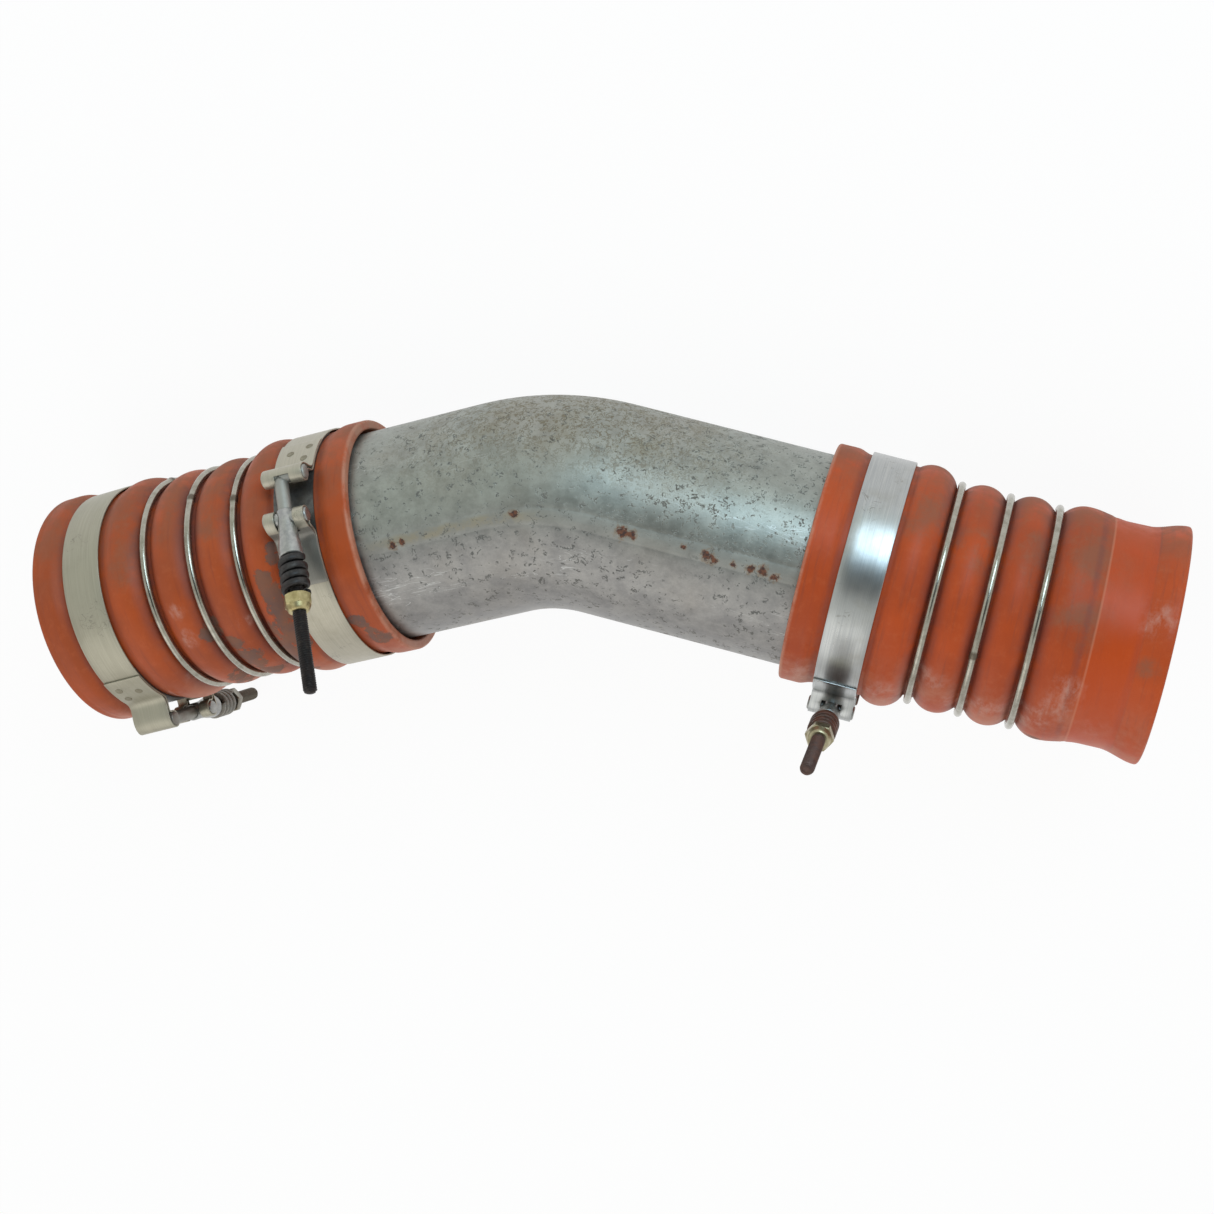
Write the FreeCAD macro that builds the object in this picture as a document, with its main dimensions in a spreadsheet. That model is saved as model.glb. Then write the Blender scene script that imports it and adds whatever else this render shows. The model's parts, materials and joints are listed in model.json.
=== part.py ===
import FreeCAD, Part
import Sketcher
import math
import os

# Charge air cooler pipe: a bent steel tube with a hump hose boot on each end.
# The boots carry wire rings, and spring-loaded T-bolt clamps hold them.
# Working frame: the two tube arms cross at the origin, the bend lies in the XZ plane, its crown is up,
# and the side with the bolt of the inner left clamp faces -Y.

SIZES = [
    ("tube_diameter", 88.9),
    ("tube_wall", 2.0),
    ("bend_angle", 28.4),
    ("bend_radius", 88.9),
    ("left_reach", 74.2),
    ("right_reach", 108.0),
    ("tube_insertion", 33.0),
    ("boot_wall", 3.6),
    ("boot_clearance", 0.1),
    ("lip_length", 9.0),
    ("lip_slope", 4.1),
    ("lip_rise", 1.6),
    ("lip_flare", 1.4),
    ("lip_round", 1.2),
    ("free_lip_rise", 3.2),
    ("band_width", 18.0),
    ("band_thickness", 0.7),
    ("track_margin", 1.5),
    ("left_squeeze", 1.2),
    ("right_squeeze", 2.25),
    ("shoulder_width", 16.7),
    ("shoulder_rise", 2.3),
    ("crest_offset", 6.8),
    ("hump_rise", 4.0),
    ("valley_depth", 4.7),
    ("valley_width", 3.8),
    ("ring_pitch", 20.6),
    ("ring_wire", 3.2),
    ("left_bow_angle", 2.4),
    ("left_sway_angle", 3.6),
    ("right_bow_angle", 1.8),
    ("right_sway_angle", 0.3),
    ("bridge_thickness", 0.5),
    ("bridge_angle", 104.0),
    ("bridge_clearance", 0.25),
    ("seat_clearance", 0.1),
    ("bolt_standoff", 6.2),
    ("bolt_diameter", 5.8),
    ("bolt_length", 97.0),
    ("bolt_chamfer", 0.8),
    ("cross_bar_diameter", 6.0),
    ("pad_angle", 20.0),
    ("slot_clearance", 0.4),
    ("sleeve_diameter", 7.6),
    ("sleeve_length", 17.5),
    ("spring_diameter", 12.0),
    ("spring_wire", 3.1),
    ("spring_depth", 2.7),
    ("spring_pitch", 3.7),
    ("spring_length", 17.5),
    ("nut_flats", 10.3),
    ("nut_height", 4.6),
    ("collar_height", 2.6),
    ("collar_diameter", 8.2),
    ("left_outer_gap", 33.0),
    ("left_inner_gap", 19.2),
    ("right_inner_gap", 19.8),
    ("left_outer_turn_angle", 75.5),
    ("left_inner_turn_angle", -40.0),
    ("right_inner_turn_angle", -86.0),
    ("left_outer_skew_angle", -4.5),
    ("left_inner_skew_angle", 5.5),
    ("right_inner_skew_angle", 0.5),
    ("rest_roll_angle", -99.456),
    ("rest_pitch_angle", 0.43),
]

doc = FreeCAD.newDocument("charge_air_cooler_pipe")
sheet = doc.addObject("Spreadsheet::Sheet", "sizes")
for row, (alias, value) in enumerate(SIZES, start=1):
    sheet.set("A%d" % row, alias)
    sheet.set("B%d" % row, str(value))
    sheet.setAlias("B%d" % row, alias)
doc.recompute()

FULL_TURN = 360.0
HALF_TURN = 180.0
HALF = 0.5
QUARTER_TURN = 90.0
NUT_SIDES = 6
BLOCK_SHARE = 4
RING_NAMES = ("inner", "middle", "outer")
ROUND_SHARE = 1 - math.sqrt(0.5)
NO_LENGTH = 1e-9
SAME_POINT = 1e-6
VIEW_SIDE = FreeCAD.Vector(0, -1, 0)
X_AXIS = FreeCAD.Vector(1, 0, 0)
Y_AXIS = FreeCAD.Vector(0, 1, 0)
Z_AXIS = FreeCAD.Vector(0, 0, 1)
ORIGIN = FreeCAD.Vector(0, 0, 0)

sub_parts = []


def size(alias):
    return float(getattr(sheet, alias))


def worked_out(formula):
    result = sheet.evalExpression(formula)
    return float(getattr(result, "Value", result))


def bind(item, **formulas):
    for name, formula in formulas.items():
        item.setExpression(name, formula)


def finish(item, label, placement):
    item.Label = label
    item.Placement = placement
    sub_parts.append(item)
    return item


def plane(body, role):
    return next(f for f in body.Origin.OriginFeatures if f.Role == role)


def new_sketch(body, role, name):
    sketch = body.newObject("Sketcher::SketchObject", name)
    sketch.AttachmentSupport = [(plane(body, role), "")]
    sketch.MapMode = "FlatFace"
    return sketch


def hold_point(sketch, geometry, vertex, x_formula, y_formula):
    """Ties one vertex of a sketch to two formulas over the sheet."""
    for kind, formula in (("DistanceX", x_formula), ("DistanceY", y_formula)):
        value = worked_out(formula)
        if abs(value) < NO_LENGTH:
            axis = -2 if kind == "DistanceX" else -1
            sketch.addConstraint(Sketcher.Constraint("PointOnObject", geometry, vertex, axis))
            continue
        index = sketch.addConstraint(Sketcher.Constraint(kind, geometry, vertex, value))
        sketch.setExpression("Constraints[%d]" % index, formula)


def outline(sketch, stations):
    """Closes an outline of lines and arcs; a station is its x, its y and the arc's middle point or None."""
    corners = [FreeCAD.Vector(worked_out(x), worked_out(y), 0) for x, y, middle in stations]
    first = sketch.GeometryCount
    for index, (x, y, middle) in enumerate(stations):
        start = corners[index]
        end = corners[(index + 1) % len(corners)]
        if middle is None:
            sketch.addGeometry(Part.LineSegment(start, end))
            continue
        via = FreeCAD.Vector(worked_out(middle[0]), worked_out(middle[1]), 0)
        sketch.addGeometry(Part.Arc(start, via, end))
    ends = []
    for index in range(len(stations)):
        geometry = sketch.Geometry[first + index]
        start_is_first = (geometry.StartPoint - corners[index]).Length < SAME_POINT
        ends.append((1, 2) if start_is_first else (2, 1))
    for index, (x, y, middle) in enumerate(stations):
        following = (index + 1) % len(stations)
        sketch.addConstraint(Sketcher.Constraint(
            "Coincident", first + index, ends[index][1], first + following, ends[following][0]))
    for index, (x, y, middle) in enumerate(stations):
        hold_point(sketch, first + index, ends[index][0], x, y)
    for index, (x, y, middle) in enumerate(stations):
        if middle is None:
            continue
        via = FreeCAD.Vector(worked_out(middle[0]), worked_out(middle[1]), 0)
        point = sketch.addGeometry(Part.Point(via), True)
        sketch.addConstraint(Sketcher.Constraint("PointOnObject", point, 1, first + index))
        hold_point(sketch, point, 1, middle[0], middle[1])


def arm_placement(side, reach):
    """A frame on an arm's axis, its Z pointing out along the arm and its X towards the view side."""
    half_bend = math.radians(size("bend_angle") / 2)
    out = FreeCAD.Vector(side * math.cos(half_bend), 0, -math.sin(half_bend))
    across = out.cross(VIEW_SIDE)
    turn = FreeCAD.Rotation(VIEW_SIDE, across, out, "ZXY")
    return FreeCAD.Placement(out * reach, turn)


def charge_pipe():
    body = doc.addObject("PartDesign::Body", "charge_pipe")
    section = new_sketch(body, "XY_Plane", "pipe_section")
    for shrink in ("0", "sizes.tube_wall"):
        formula = "sizes.tube_diameter / 2 - %s" % shrink
        circle = sketch_circle(section, 0, 0, worked_out(formula))
        index = section.addConstraint(Sketcher.Constraint("Radius", circle, worked_out(formula)))
        section.setExpression("Constraints[%d]" % index, formula)
    bend = math.radians(size("bend_angle"))
    radius = size("bend_radius")
    tangent = "sizes.bend_radius * tan(sizes.bend_angle / 2 * 1 deg)"
    left_run = "sizes.left_reach + sizes.tube_insertion - " + tangent
    right_run = "sizes.right_reach + sizes.tube_insertion - " + tangent
    bend_start = FreeCAD.Vector(0, worked_out(left_run), 0)
    centre = bend_start + X_AXIS * radius
    bend_end = centre + FreeCAD.Vector(-math.cos(bend), math.sin(bend), 0) * radius
    tip = bend_end + FreeCAD.Vector(math.sin(bend), math.cos(bend), 0) * worked_out(right_run)
    path = new_sketch(body, "XZ_Plane", "pipe_path")
    path.addGeometry(Part.LineSegment(ORIGIN, bend_start))
    circle = Part.Circle(centre, Z_AXIS, radius)
    path.addGeometry(Part.ArcOfCircle(circle, math.pi - bend, math.pi))
    path.addGeometry(Part.LineSegment(bend_end, tip))
    path.addConstraint(Sketcher.Constraint("Coincident", 0, 1, -1, 1))
    path.addConstraint(Sketcher.Constraint("Vertical", 0))
    path.addConstraint(Sketcher.Constraint("Tangent", 0, 2, 1, 2))
    path.addConstraint(Sketcher.Constraint("Tangent", 1, 1, 2, 1))
    for formula, constraint in (
            (left_run, Sketcher.Constraint("Distance", 0, worked_out(left_run))),
            ("sizes.bend_radius", Sketcher.Constraint("Radius", 1, radius)),
            (right_run, Sketcher.Constraint("Distance", 2, worked_out(right_run))),
            ("(%s - sizes.bend_angle) * 1 deg" % QUARTER_TURN,
             Sketcher.Constraint("Angle", 2, math.pi / 2 - bend))):
        index = path.addConstraint(constraint)
        path.setExpression("Constraints[%d]" % index, formula)
    doc.recompute()
    sweep = body.newObject("PartDesign::AdditivePipe", "pipe_sweep")
    sweep.Profile = section
    sweep.Spine = path
    start = arm_placement(-1, size("left_reach") + size("tube_insertion"))
    turned_in = FreeCAD.Rotation(start.Rotation.multVec(Y_AXIS) * -1, Y_AXIS,
                                 start.Rotation.multVec(Z_AXIS) * -1, "ZXY")
    finish(body, "charge_pipe", FreeCAD.Placement(start.Base, turned_in))


def sketch_circle(sketch, x, y, radius):
    index = sketch.addGeometry(Part.Circle(FreeCAD.Vector(x, y, 0), Z_AXIS, radius))
    if x == 0 and y == 0:
        sketch.addConstraint(Sketcher.Constraint("Coincident", index, 3, -1, 1))
    return index


BORE = "(sizes.tube_diameter / 2 + sizes.boot_clearance)"
TRACK = "(%s + sizes.boot_wall)" % BORE
VALLEY = "(%s - sizes.valley_depth)" % TRACK
CREST = "(%s + sizes.hump_rise)" % VALLEY
SHOULDER = "(%s + sizes.shoulder_rise)" % TRACK
HALF_VALLEY = "(sizes.valley_width / 2)"
HALF_TRACK = "(sizes.band_width / 2 + sizes.track_margin)"
TRACK_START = "(sizes.lip_length + sizes.lip_slope)"
BAND_MIDDLE = "(%s + %s)" % (TRACK_START, HALF_TRACK)
TRACK_END = "(%s + %s)" % (BAND_MIDDLE, HALF_TRACK)
NEAR_CREST = "(%s + sizes.crest_offset)" % TRACK_END
FIRST_RING = "(%s + sizes.shoulder_width + %s)" % (TRACK_END, HALF_VALLEY)
LIP_ROUND_MIDDLE = "(sizes.lip_round * %.9f)" % ROUND_SHARE


def free_track(name):
    return "(%s - sizes.%s_squeeze)" % (TRACK, name)


def inside(radius):
    return "(%s - sizes.boot_wall)" % radius


def rounded_lip(radius, edge, direction):
    """The outer corner of a lip's end face, as its two stations in the order of a growing y."""
    on_face = ("%s - sizes.lip_round" % radius, edge)
    on_side = (radius, "%s + %d * sizes.lip_round" % (edge, direction))
    middle = ("%s - %s" % (radius, LIP_ROUND_MIDDLE), "%s + %d * %s" % (edge, direction, LIP_ROUND_MIDDLE))
    if direction > 0:
        return [on_face + (middle,), on_side + (None,)]
    return [on_side + (middle,), on_face + (None,)]


def tube_cuff():
    """Half section of the cuff on the tube, from its lip to the first valley; x radial, y along the boot."""
    lip = "(%s + sizes.lip_rise)" % TRACK
    valley_start = "(%s - %s)" % (FIRST_RING, HALF_VALLEY)
    valley_end = "(%s + %s)" % (FIRST_RING, HALF_VALLEY)
    return [("%s + sizes.lip_flare" % BORE, "0", None)] + rounded_lip(lip, "0", 1) + [
        (lip, "sizes.lip_length", None),
        (TRACK, TRACK_START, None),
        (TRACK, TRACK_END, (SHOULDER, NEAR_CREST)),
        (VALLEY, valley_start, None),
        (VALLEY, valley_end, None),
        (inside(VALLEY), valley_end, None),
        (inside(VALLEY), valley_start, None),
        (inside(SHOULDER), NEAR_CREST, None),
        (BORE, "sizes.tube_insertion + sizes.boot_clearance", None),
        (BORE, "sizes.lip_length", None),
    ]


def hump():
    """Half section of one hump with the valleys on both sides of it, measured from the valley before it."""
    crest_place = "(sizes.ring_pitch / 2)"
    return [
        (VALLEY, "-%s" % HALF_VALLEY, None),
        (VALLEY, HALF_VALLEY, (CREST, crest_place)),
        (VALLEY, "sizes.ring_pitch - %s" % HALF_VALLEY, None),
        (VALLEY, "sizes.ring_pitch + %s" % HALF_VALLEY, None),
        (inside(VALLEY), "sizes.ring_pitch + %s" % HALF_VALLEY, None),
        (inside(VALLEY), "sizes.ring_pitch - %s" % HALF_VALLEY, None),
        (inside(CREST), crest_place, None),
        (inside(VALLEY), HALF_VALLEY, None),
        (inside(VALLEY), "-%s" % HALF_VALLEY, None),
    ]


def free_cuff(name):
    """Half section of the cuff on the free end, squeezed under its band, measured from the last valley."""
    track = free_track(name)
    shoulder = "(%s + sizes.shoulder_rise)" % track
    lip = "(%s + sizes.free_lip_rise)" % track
    track_start = "(%s + sizes.shoulder_width)" % HALF_VALLEY
    crest_place = "(%s - sizes.crest_offset)" % track_start
    track_end = "(%s + 2 * %s)" % (track_start, HALF_TRACK)
    lip_start = "(%s + sizes.lip_slope)" % track_end
    edge = "(%s + sizes.lip_length)" % lip_start
    return [
        (VALLEY, "-%s" % HALF_VALLEY, None),
        (VALLEY, HALF_VALLEY, (shoulder, crest_place)),
        (track, track_start, None),
        (track, track_end, None),
        (lip, lip_start, None),
    ] + rounded_lip(lip, edge, -1) + [
        (inside(track), edge, None),
        (inside(track), track_start, None),
        (inside(shoulder), crest_place, None),
        (inside(VALLEY), HALF_VALLEY, None),
        (inside(VALLEY), "-%s" % HALF_VALLEY, None),
    ]


def boot_joints(name):
    """Along a boot from its tube end, which gives a little at each ring: the frames of its four lengths and
    the mitre frames at its rings."""
    share = 1 / len(RING_NAMES)
    bow = FreeCAD.Rotation(X_AXIS, size(name + "_bow_angle") * share)
    give = bow * FreeCAD.Rotation(Y_AXIS, -size(name + "_sway_angle") * share)
    half_give = FreeCAD.Rotation().slerp(give, HALF)
    lengths = [FreeCAD.Placement()]
    mitres = []
    for step in (FIRST_RING, "sizes.ring_pitch", "sizes.ring_pitch"):
        along = Z_AXIS * worked_out(step)
        mitres.append(lengths[-1] * FreeCAD.Placement(along, half_give))
        lengths.append(lengths[-1] * FreeCAD.Placement(along, give))
    return lengths, mitres


def turned(label, stations, frame):
    """A solid turned about the Z axis of a frame from a half section, x radial and y axial."""
    sketch = doc.addObject("Sketcher::SketchObject", label + "_profile")
    sketch.Placement = frame * FreeCAD.Placement(ORIGIN, FreeCAD.Rotation(X_AXIS, QUARTER_TURN))
    outline(sketch, stations)
    doc.recompute()
    solid = doc.addObject("Part::Revolution", label)
    solid.FaceMakerClass = "Part::FaceMakerBullseye"
    solid.Source = sketch
    solid.Base = frame.Base
    solid.Axis = frame.Rotation.multVec(Z_AXIS)
    solid.Angle = FULL_TURN
    solid.Solid = True
    return solid


def mitred(label, solid, mitre, beyond):
    """Cuts a solid at a mitre's XY plane, taking away the part beyond it or the part before it."""
    reach = "%d * sizes.tube_diameter" % BLOCK_SHARE
    block = primitive("Part::Box", label + "_block", Length=reach, Width=reach, Height=reach)
    half = worked_out(reach) / 2
    start = 0 if beyond else -2 * half
    block.Placement = mitre * FreeCAD.Placement(FreeCAD.Vector(-half, -half, start), FreeCAD.Rotation())
    return cut(label, solid, block)


def boot(name, placement):
    label = name + "_boot"
    lengths, mitres = boot_joints(name)
    pieces = []
    for index, stations in enumerate((tube_cuff(), hump(), hump(), free_cuff(name))):
        piece = turned("%s_length_%d" % (label, index), stations, lengths[index])
        if index > 0:
            piece = mitred("%s_start_%d" % (label, index), piece, mitres[index - 1], False)
        if index < len(mitres):
            piece = mitred("%s_end_%d" % (label, index), piece, mitres[index], True)
        pieces.append(piece)
    finish(fused(label, pieces), label, placement)
    for ring_name, mitre in zip(RING_NAMES, mitres):
        ring("%s_%s_ring" % (name, ring_name), placement * mitre)


def ring(label, placement):
    torus = doc.addObject("Part::Torus", label)
    bind(torus, Radius1="%s + sizes.ring_wire / 2 + sizes.seat_clearance" % VALLEY, Radius2="sizes.ring_wire / 2")
    finish(torus, label, placement)


def at(radius, angle):
    return FreeCAD.Vector(radius * math.cos(angle), radius * math.sin(angle), 0)


def arc(centre, radius, start, end):
    """An arc from one angle to another, run the way that the shorter turn goes."""
    low, high = min(start, end), max(start, end)
    return Part.ArcOfCircle(Part.Circle(centre, Z_AXIS, radius), low, high)


def loop_outline(side, gap, standing, inner):
    """A strap end: out along a tangent, round the cross bar, and back down onto the band."""
    thick = size("band_thickness")
    hole = size("cross_bar_diameter") / 2 + size("seat_clearance")
    wrap = hole + thick
    pin = FreeCAD.Vector(standing, side * gap / 2, 0)
    lean = math.atan2(gap / 2, standing)
    leave = side * (lean + math.acos((inner + wrap) / pin.Length))
    land = side * (lean + math.acos((inner + 2 * thick - wrap) / pin.Length))
    stop = land + side * math.radians(size("pad_angle"))
    outer = [
        Part.LineSegment(at(inner, leave), pin - at(wrap, leave)),
        loop_arc(pin, wrap, leave, land, side),
        Part.LineSegment(pin + at(wrap, land), at(inner + 2 * thick, land)),
        arc(ORIGIN, inner + 2 * thick, land, stop),
        Part.LineSegment(at(inner + 2 * thick, stop), at(inner, stop)),
        arc(ORIGIN, inner, stop, leave),
    ]
    meeting = at((inner + thick) / math.cos((land - leave) / 2), (land + leave) / 2)
    opening = [
        Part.LineSegment(meeting, pin - at(hole, leave)),
        loop_arc(pin, hole, leave, land, side),
        Part.LineSegment(pin + at(hole, land), meeting),
    ]
    return outer + opening, leave


def loop_arc(pin, radius, leave, land, side):
    """The round of a loop, from its underside through the side that faces the gap to its top."""
    towards_gap = FreeCAD.Vector(0, -side * radius, 0)
    return Part.Arc(pin - at(radius, leave), pin + towards_gap, pin + at(radius, land))


def blocked(sketch, geometry):
    for item in geometry:
        index = sketch.addGeometry(item)
        sketch.addConstraint(Sketcher.Constraint("Block", index))


def symmetric_pad(body, sketch, name, formula):
    pad = body.newObject("PartDesign::Pad", name)
    pad.Profile = sketch
    pad.SideType = "Symmetric"
    bind(pad, Length=formula)
    return pad


def window(body, name, low, high, formula):
    """Cuts a slot as wide as the formula through a loop, between two corners of the side view."""
    sketch = new_sketch(body, "XY_Plane", name + "_sketch")
    corners = [low, FreeCAD.Vector(high.x, low.y, 0), high, FreeCAD.Vector(low.x, high.y, 0)]
    blocked(sketch, [Part.LineSegment(a, b) for a, b in zip(corners, corners[1:] + corners[:1])])
    doc.recompute()
    pocket = body.newObject("PartDesign::Pocket", name)
    pocket.Profile = sketch
    pocket.SideType = "Symmetric"
    bind(pocket, Length=formula)


def band(name, placement, inner):
    label = name + "_band"
    gap = size(name + "_gap")
    standing = inner + size("band_thickness") + size("bolt_standoff")
    thick = size("band_thickness")
    body = doc.addObject("PartDesign::Body", label)
    for side, loop_name in ((-1, label + "_head_loop"), (1, label + "_ear_loop")):
        edges, leave = loop_outline(side, gap, standing, inner)
        sketch = new_sketch(body, "XY_Plane", loop_name + "_sketch")
        blocked(sketch, edges)
        doc.recompute()
        symmetric_pad(body, sketch, loop_name, "sizes.band_width")
    start = abs(leave)
    end = 2 * math.pi - start
    strip = new_sketch(body, "XY_Plane", label + "_strip_sketch")
    blocked(strip, [
        Part.ArcOfCircle(Part.Circle(ORIGIN, Z_AXIS, inner + thick), start, end),
        Part.ArcOfCircle(Part.Circle(ORIGIN, Z_AXIS, inner), start, end),
        Part.LineSegment(at(inner, start), at(inner + thick, start)),
        Part.LineSegment(at(inner, end), at(inner + thick, end)),
    ])
    doc.recompute()
    symmetric_pad(body, strip, label + "_strip", "sizes.band_width")
    doc.recompute()
    reach = size("cross_bar_diameter")
    bolt_room = size("bolt_diameter") / 2 + size("slot_clearance")
    sleeve_room = size("sleeve_diameter") / 2 + size("slot_clearance")
    slope = "2 * abs(tan(sizes.%s_skew_angle * 1 deg))" % name
    window(body, label + "_bolt_slot", FreeCAD.Vector(standing - bolt_room, -gap / 2, 0),
           FreeCAD.Vector(standing + reach, 0, 0),
           "sizes.bolt_diameter + 2 * sizes.slot_clearance + sizes.%s_gap * %s" % (name, slope))
    window(body, label + "_sleeve_slot", FreeCAD.Vector(standing - sleeve_room, 0, 0),
           FreeCAD.Vector(standing + reach, gap / 2 + size("sleeve_length"), 0),
           "sizes.sleeve_diameter + 2 * sizes.slot_clearance + sizes.sleeve_length * %s" % slope)
    finish(body, label, placement)


def primitive(kind, name, **formulas):
    item = doc.addObject(kind, name)
    bind(item, **formulas)
    return item


def fused(name, pieces):
    item = doc.addObject("Part::MultiFuse", name)
    item.Shapes = pieces
    return item


def cut(name, base, tool):
    item = doc.addObject("Part::Cut", name)
    item.Base = base
    item.Tool = tool
    return item


def bridge(label, placement, inner):
    """The strip that closes the gap between hose and bolt, inside the band."""
    blank = primitive("Part::Cylinder", label + "_blank", Height="sizes.band_width",
                      Angle="sizes.bridge_angle * 1 deg")
    blank.Radius = inner - size("seat_clearance")
    room = primitive("Part::Cylinder", label + "_room", Height="sizes.band_width")
    room.Radius = blank.Radius.Value - size("bridge_thickness")
    strip = cut(label, blank, room)
    down = FreeCAD.Vector(0, 0, -size("band_width") / 2)
    turn = FreeCAD.Rotation(Z_AXIS, -size("bridge_angle") / 2)
    finish(strip, label, placement * FreeCAD.Placement(down, turn))


def cross_bar(name, seat):
    """A bar along the band's width, lying in its loop at a seat that is given in the frame of its piece."""
    bar = primitive("Part::Cylinder", name, Radius="sizes.cross_bar_diameter / 2", Height="sizes.band_width")
    bar.Placement = seat * FreeCAD.Placement(
        FreeCAD.Vector(-size("band_width") / 2, 0, 0), FreeCAD.Rotation(Z_AXIS, X_AXIS))
    return bar


def t_bolt(label, placement, loop):
    shank = primitive("Part::Cylinder", label + "_shank", Radius="sizes.bolt_diameter / 2",
                      Height="sizes.bolt_length - sizes.bolt_chamfer")
    tip = primitive("Part::Cone", label + "_tip", Radius1="sizes.bolt_diameter / 2",
                    Radius2="sizes.bolt_diameter / 2 - sizes.bolt_chamfer", Height="sizes.bolt_chamfer")
    tip.Placement.Base = Z_AXIS * (size("bolt_length") - size("bolt_chamfer"))
    bar = cross_bar(label + "_bar", placement.inverse() * loop)
    finish(fused(label, [bar, shank, tip]), label, placement)


def bored(label, blank, long):
    hole = primitive("Part::Cylinder", label + "_hole",
                     Radius="sizes.bolt_diameter / 2 + sizes.seat_clearance")
    hole.Height = 2 * long
    hole.Placement.Base = Z_AXIS * -long
    return cut(label, blank, hole)


def trunnion(label, placement, loop):
    sleeve = primitive("Part::Cylinder", label + "_sleeve", Radius="sizes.sleeve_diameter / 2",
                       Height="sizes.sleeve_length")
    blank = fused(label + "_blank", [cross_bar(label + "_bar", placement.inverse() * loop), sleeve])
    finish(bored(label, blank, size("bolt_length")), label, placement)


def spring(label, placement):
    body = doc.addObject("PartDesign::Body", label)
    wire = new_sketch(body, "XZ_Plane", label + "_wire")
    outside = "sizes.spring_diameter / 2"
    inside = "sizes.spring_diameter / 2 - sizes.spring_depth"
    outline(wire, [
        (inside, "0", None),
        (outside, "0", None),
        (outside, "sizes.spring_wire", None),
        (inside, "sizes.spring_wire", None),
    ])
    doc.recompute()
    coil = body.newObject("PartDesign::AdditiveHelix", label + "_coil")
    coil.Profile = wire
    coil.ReferenceAxis = (wire, ["V_Axis"])
    coil.Mode = 0
    bind(coil, Pitch="sizes.spring_pitch", Height="sizes.spring_length - sizes.spring_wire")
    finish(body, label, placement)


def lock_nut(label, placement):
    hexagon = primitive("Part::Prism", label + "_hexagon", Circumradius="sizes.nut_flats / sqrt(3)",
                        Height="sizes.nut_height")
    hexagon.Polygon = NUT_SIDES
    collar = primitive("Part::Cone", label + "_collar", Radius1="sizes.nut_flats / 2",
                       Radius2="sizes.collar_diameter / 2", Height="sizes.collar_height")
    collar.Placement.Base = Z_AXIS * size("nut_height")
    blank = fused(label + "_blank", [hexagon, collar])
    finish(bored(label, blank, size("bolt_length")), label, placement)


def clamp(name, on_cuff, track):
    """One T-bolt clamp round a cuff; its bolt runs along the clamp frame's Y over the gap, a little askew."""
    gap = size(name + "_gap")
    inner = worked_out(track) + size("bridge_clearance") + size("bridge_thickness") + size("seat_clearance")
    standing = inner + size("band_thickness") + size("bolt_standoff")
    flipped = FreeCAD.Placement(ORIGIN, FreeCAD.Rotation(X_AXIS, HALF_TURN))
    turned = FreeCAD.Placement(ORIGIN, FreeCAD.Rotation(Z_AXIS, size(name + "_turn_angle")))
    placement = on_cuff * flipped * turned
    along_bolt = FreeCAD.Rotation(Z_AXIS, X_AXIS, Y_AXIS, "ZXY")
    askew = FreeCAD.Placement(ORIGIN, FreeCAD.Rotation(Y_AXIS, size(name + "_skew_angle")))

    def in_loop(station):
        return placement * FreeCAD.Placement(FreeCAD.Vector(standing, station, 0), along_bolt)

    def on_bolt(station):
        return in_loop(gap / 2) * askew * FreeCAD.Placement(Z_AXIS * (station - gap / 2), FreeCAD.Rotation())

    sleeve_end = gap / 2 + size("sleeve_length") + size("seat_clearance")
    nut_seat = sleeve_end + size("spring_length") + size("seat_clearance")
    band(name, placement, inner)
    bridge(name + "_bridge", placement, inner)
    t_bolt(name + "_t_bolt", on_bolt(-gap / 2), in_loop(-gap / 2))
    trunnion(name + "_trunnion", on_bolt(gap / 2), in_loop(gap / 2))
    spring(name + "_spring", on_bolt(sleeve_end))
    lock_nut(name + "_lock_nut", on_bolt(nut_seat))


charge_pipe()
on_tube_cuff = FreeCAD.Placement(Z_AXIS * worked_out(BAND_MIDDLE), FreeCAD.Rotation())
free_band_place = "%s + sizes.shoulder_width + %s" % (HALF_VALLEY, HALF_TRACK)
on_free_cuff = FreeCAD.Placement(Z_AXIS * worked_out(free_band_place), FreeCAD.Rotation())
left_arm = arm_placement(-1, size("left_reach"))
right_arm = arm_placement(1, size("right_reach"))
boot("left", left_arm)
boot("right", right_arm)
clamp("left_inner", left_arm * on_tube_cuff, TRACK)
clamp("left_outer", left_arm * boot_joints("left")[0][-1] * on_free_cuff, free_track("left"))
clamp("right_inner", right_arm * on_tube_cuff, TRACK)
doc.recompute()

# Lay the assembly down on the inner lips of both boots and the tip of the outer bolt.
lean = FreeCAD.Rotation(Y_AXIS, size("rest_pitch_angle")) * FreeCAD.Rotation(X_AXIS, size("rest_roll_angle"))
for item in sub_parts:
    item.Placement = FreeCAD.Placement(ORIGIN, lean) * item.Placement
doc.recompute()
box = FreeCAD.BoundBox()
for item in sub_parts:
    box.add(item.Shape.optimalBoundingBox())
lift = FreeCAD.Placement(FreeCAD.Vector(-box.Center.x, -box.Center.y, -box.ZMin), FreeCAD.Rotation())
for item in sub_parts:
    item.Placement = lift * item.Placement
doc.recompute()

for item in doc.Objects:
    if "Invalid" in item.State or "Error" in item.State:
        raise RuntimeError("%s failed: %s" % (item.Label, item.State))
for item in sub_parts:
    if item.Shape.isNull() or not item.Shape.isValid():
        raise RuntimeError("%s has no valid shape" % item.Label)

os.makedirs("parts", exist_ok=True)
for item in sub_parts:
    item.Shape.exportStep("parts/%s.step" % item.Label)
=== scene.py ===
import json
import math

import bpy
from mathutils import Matrix, Vector, noise


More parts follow.
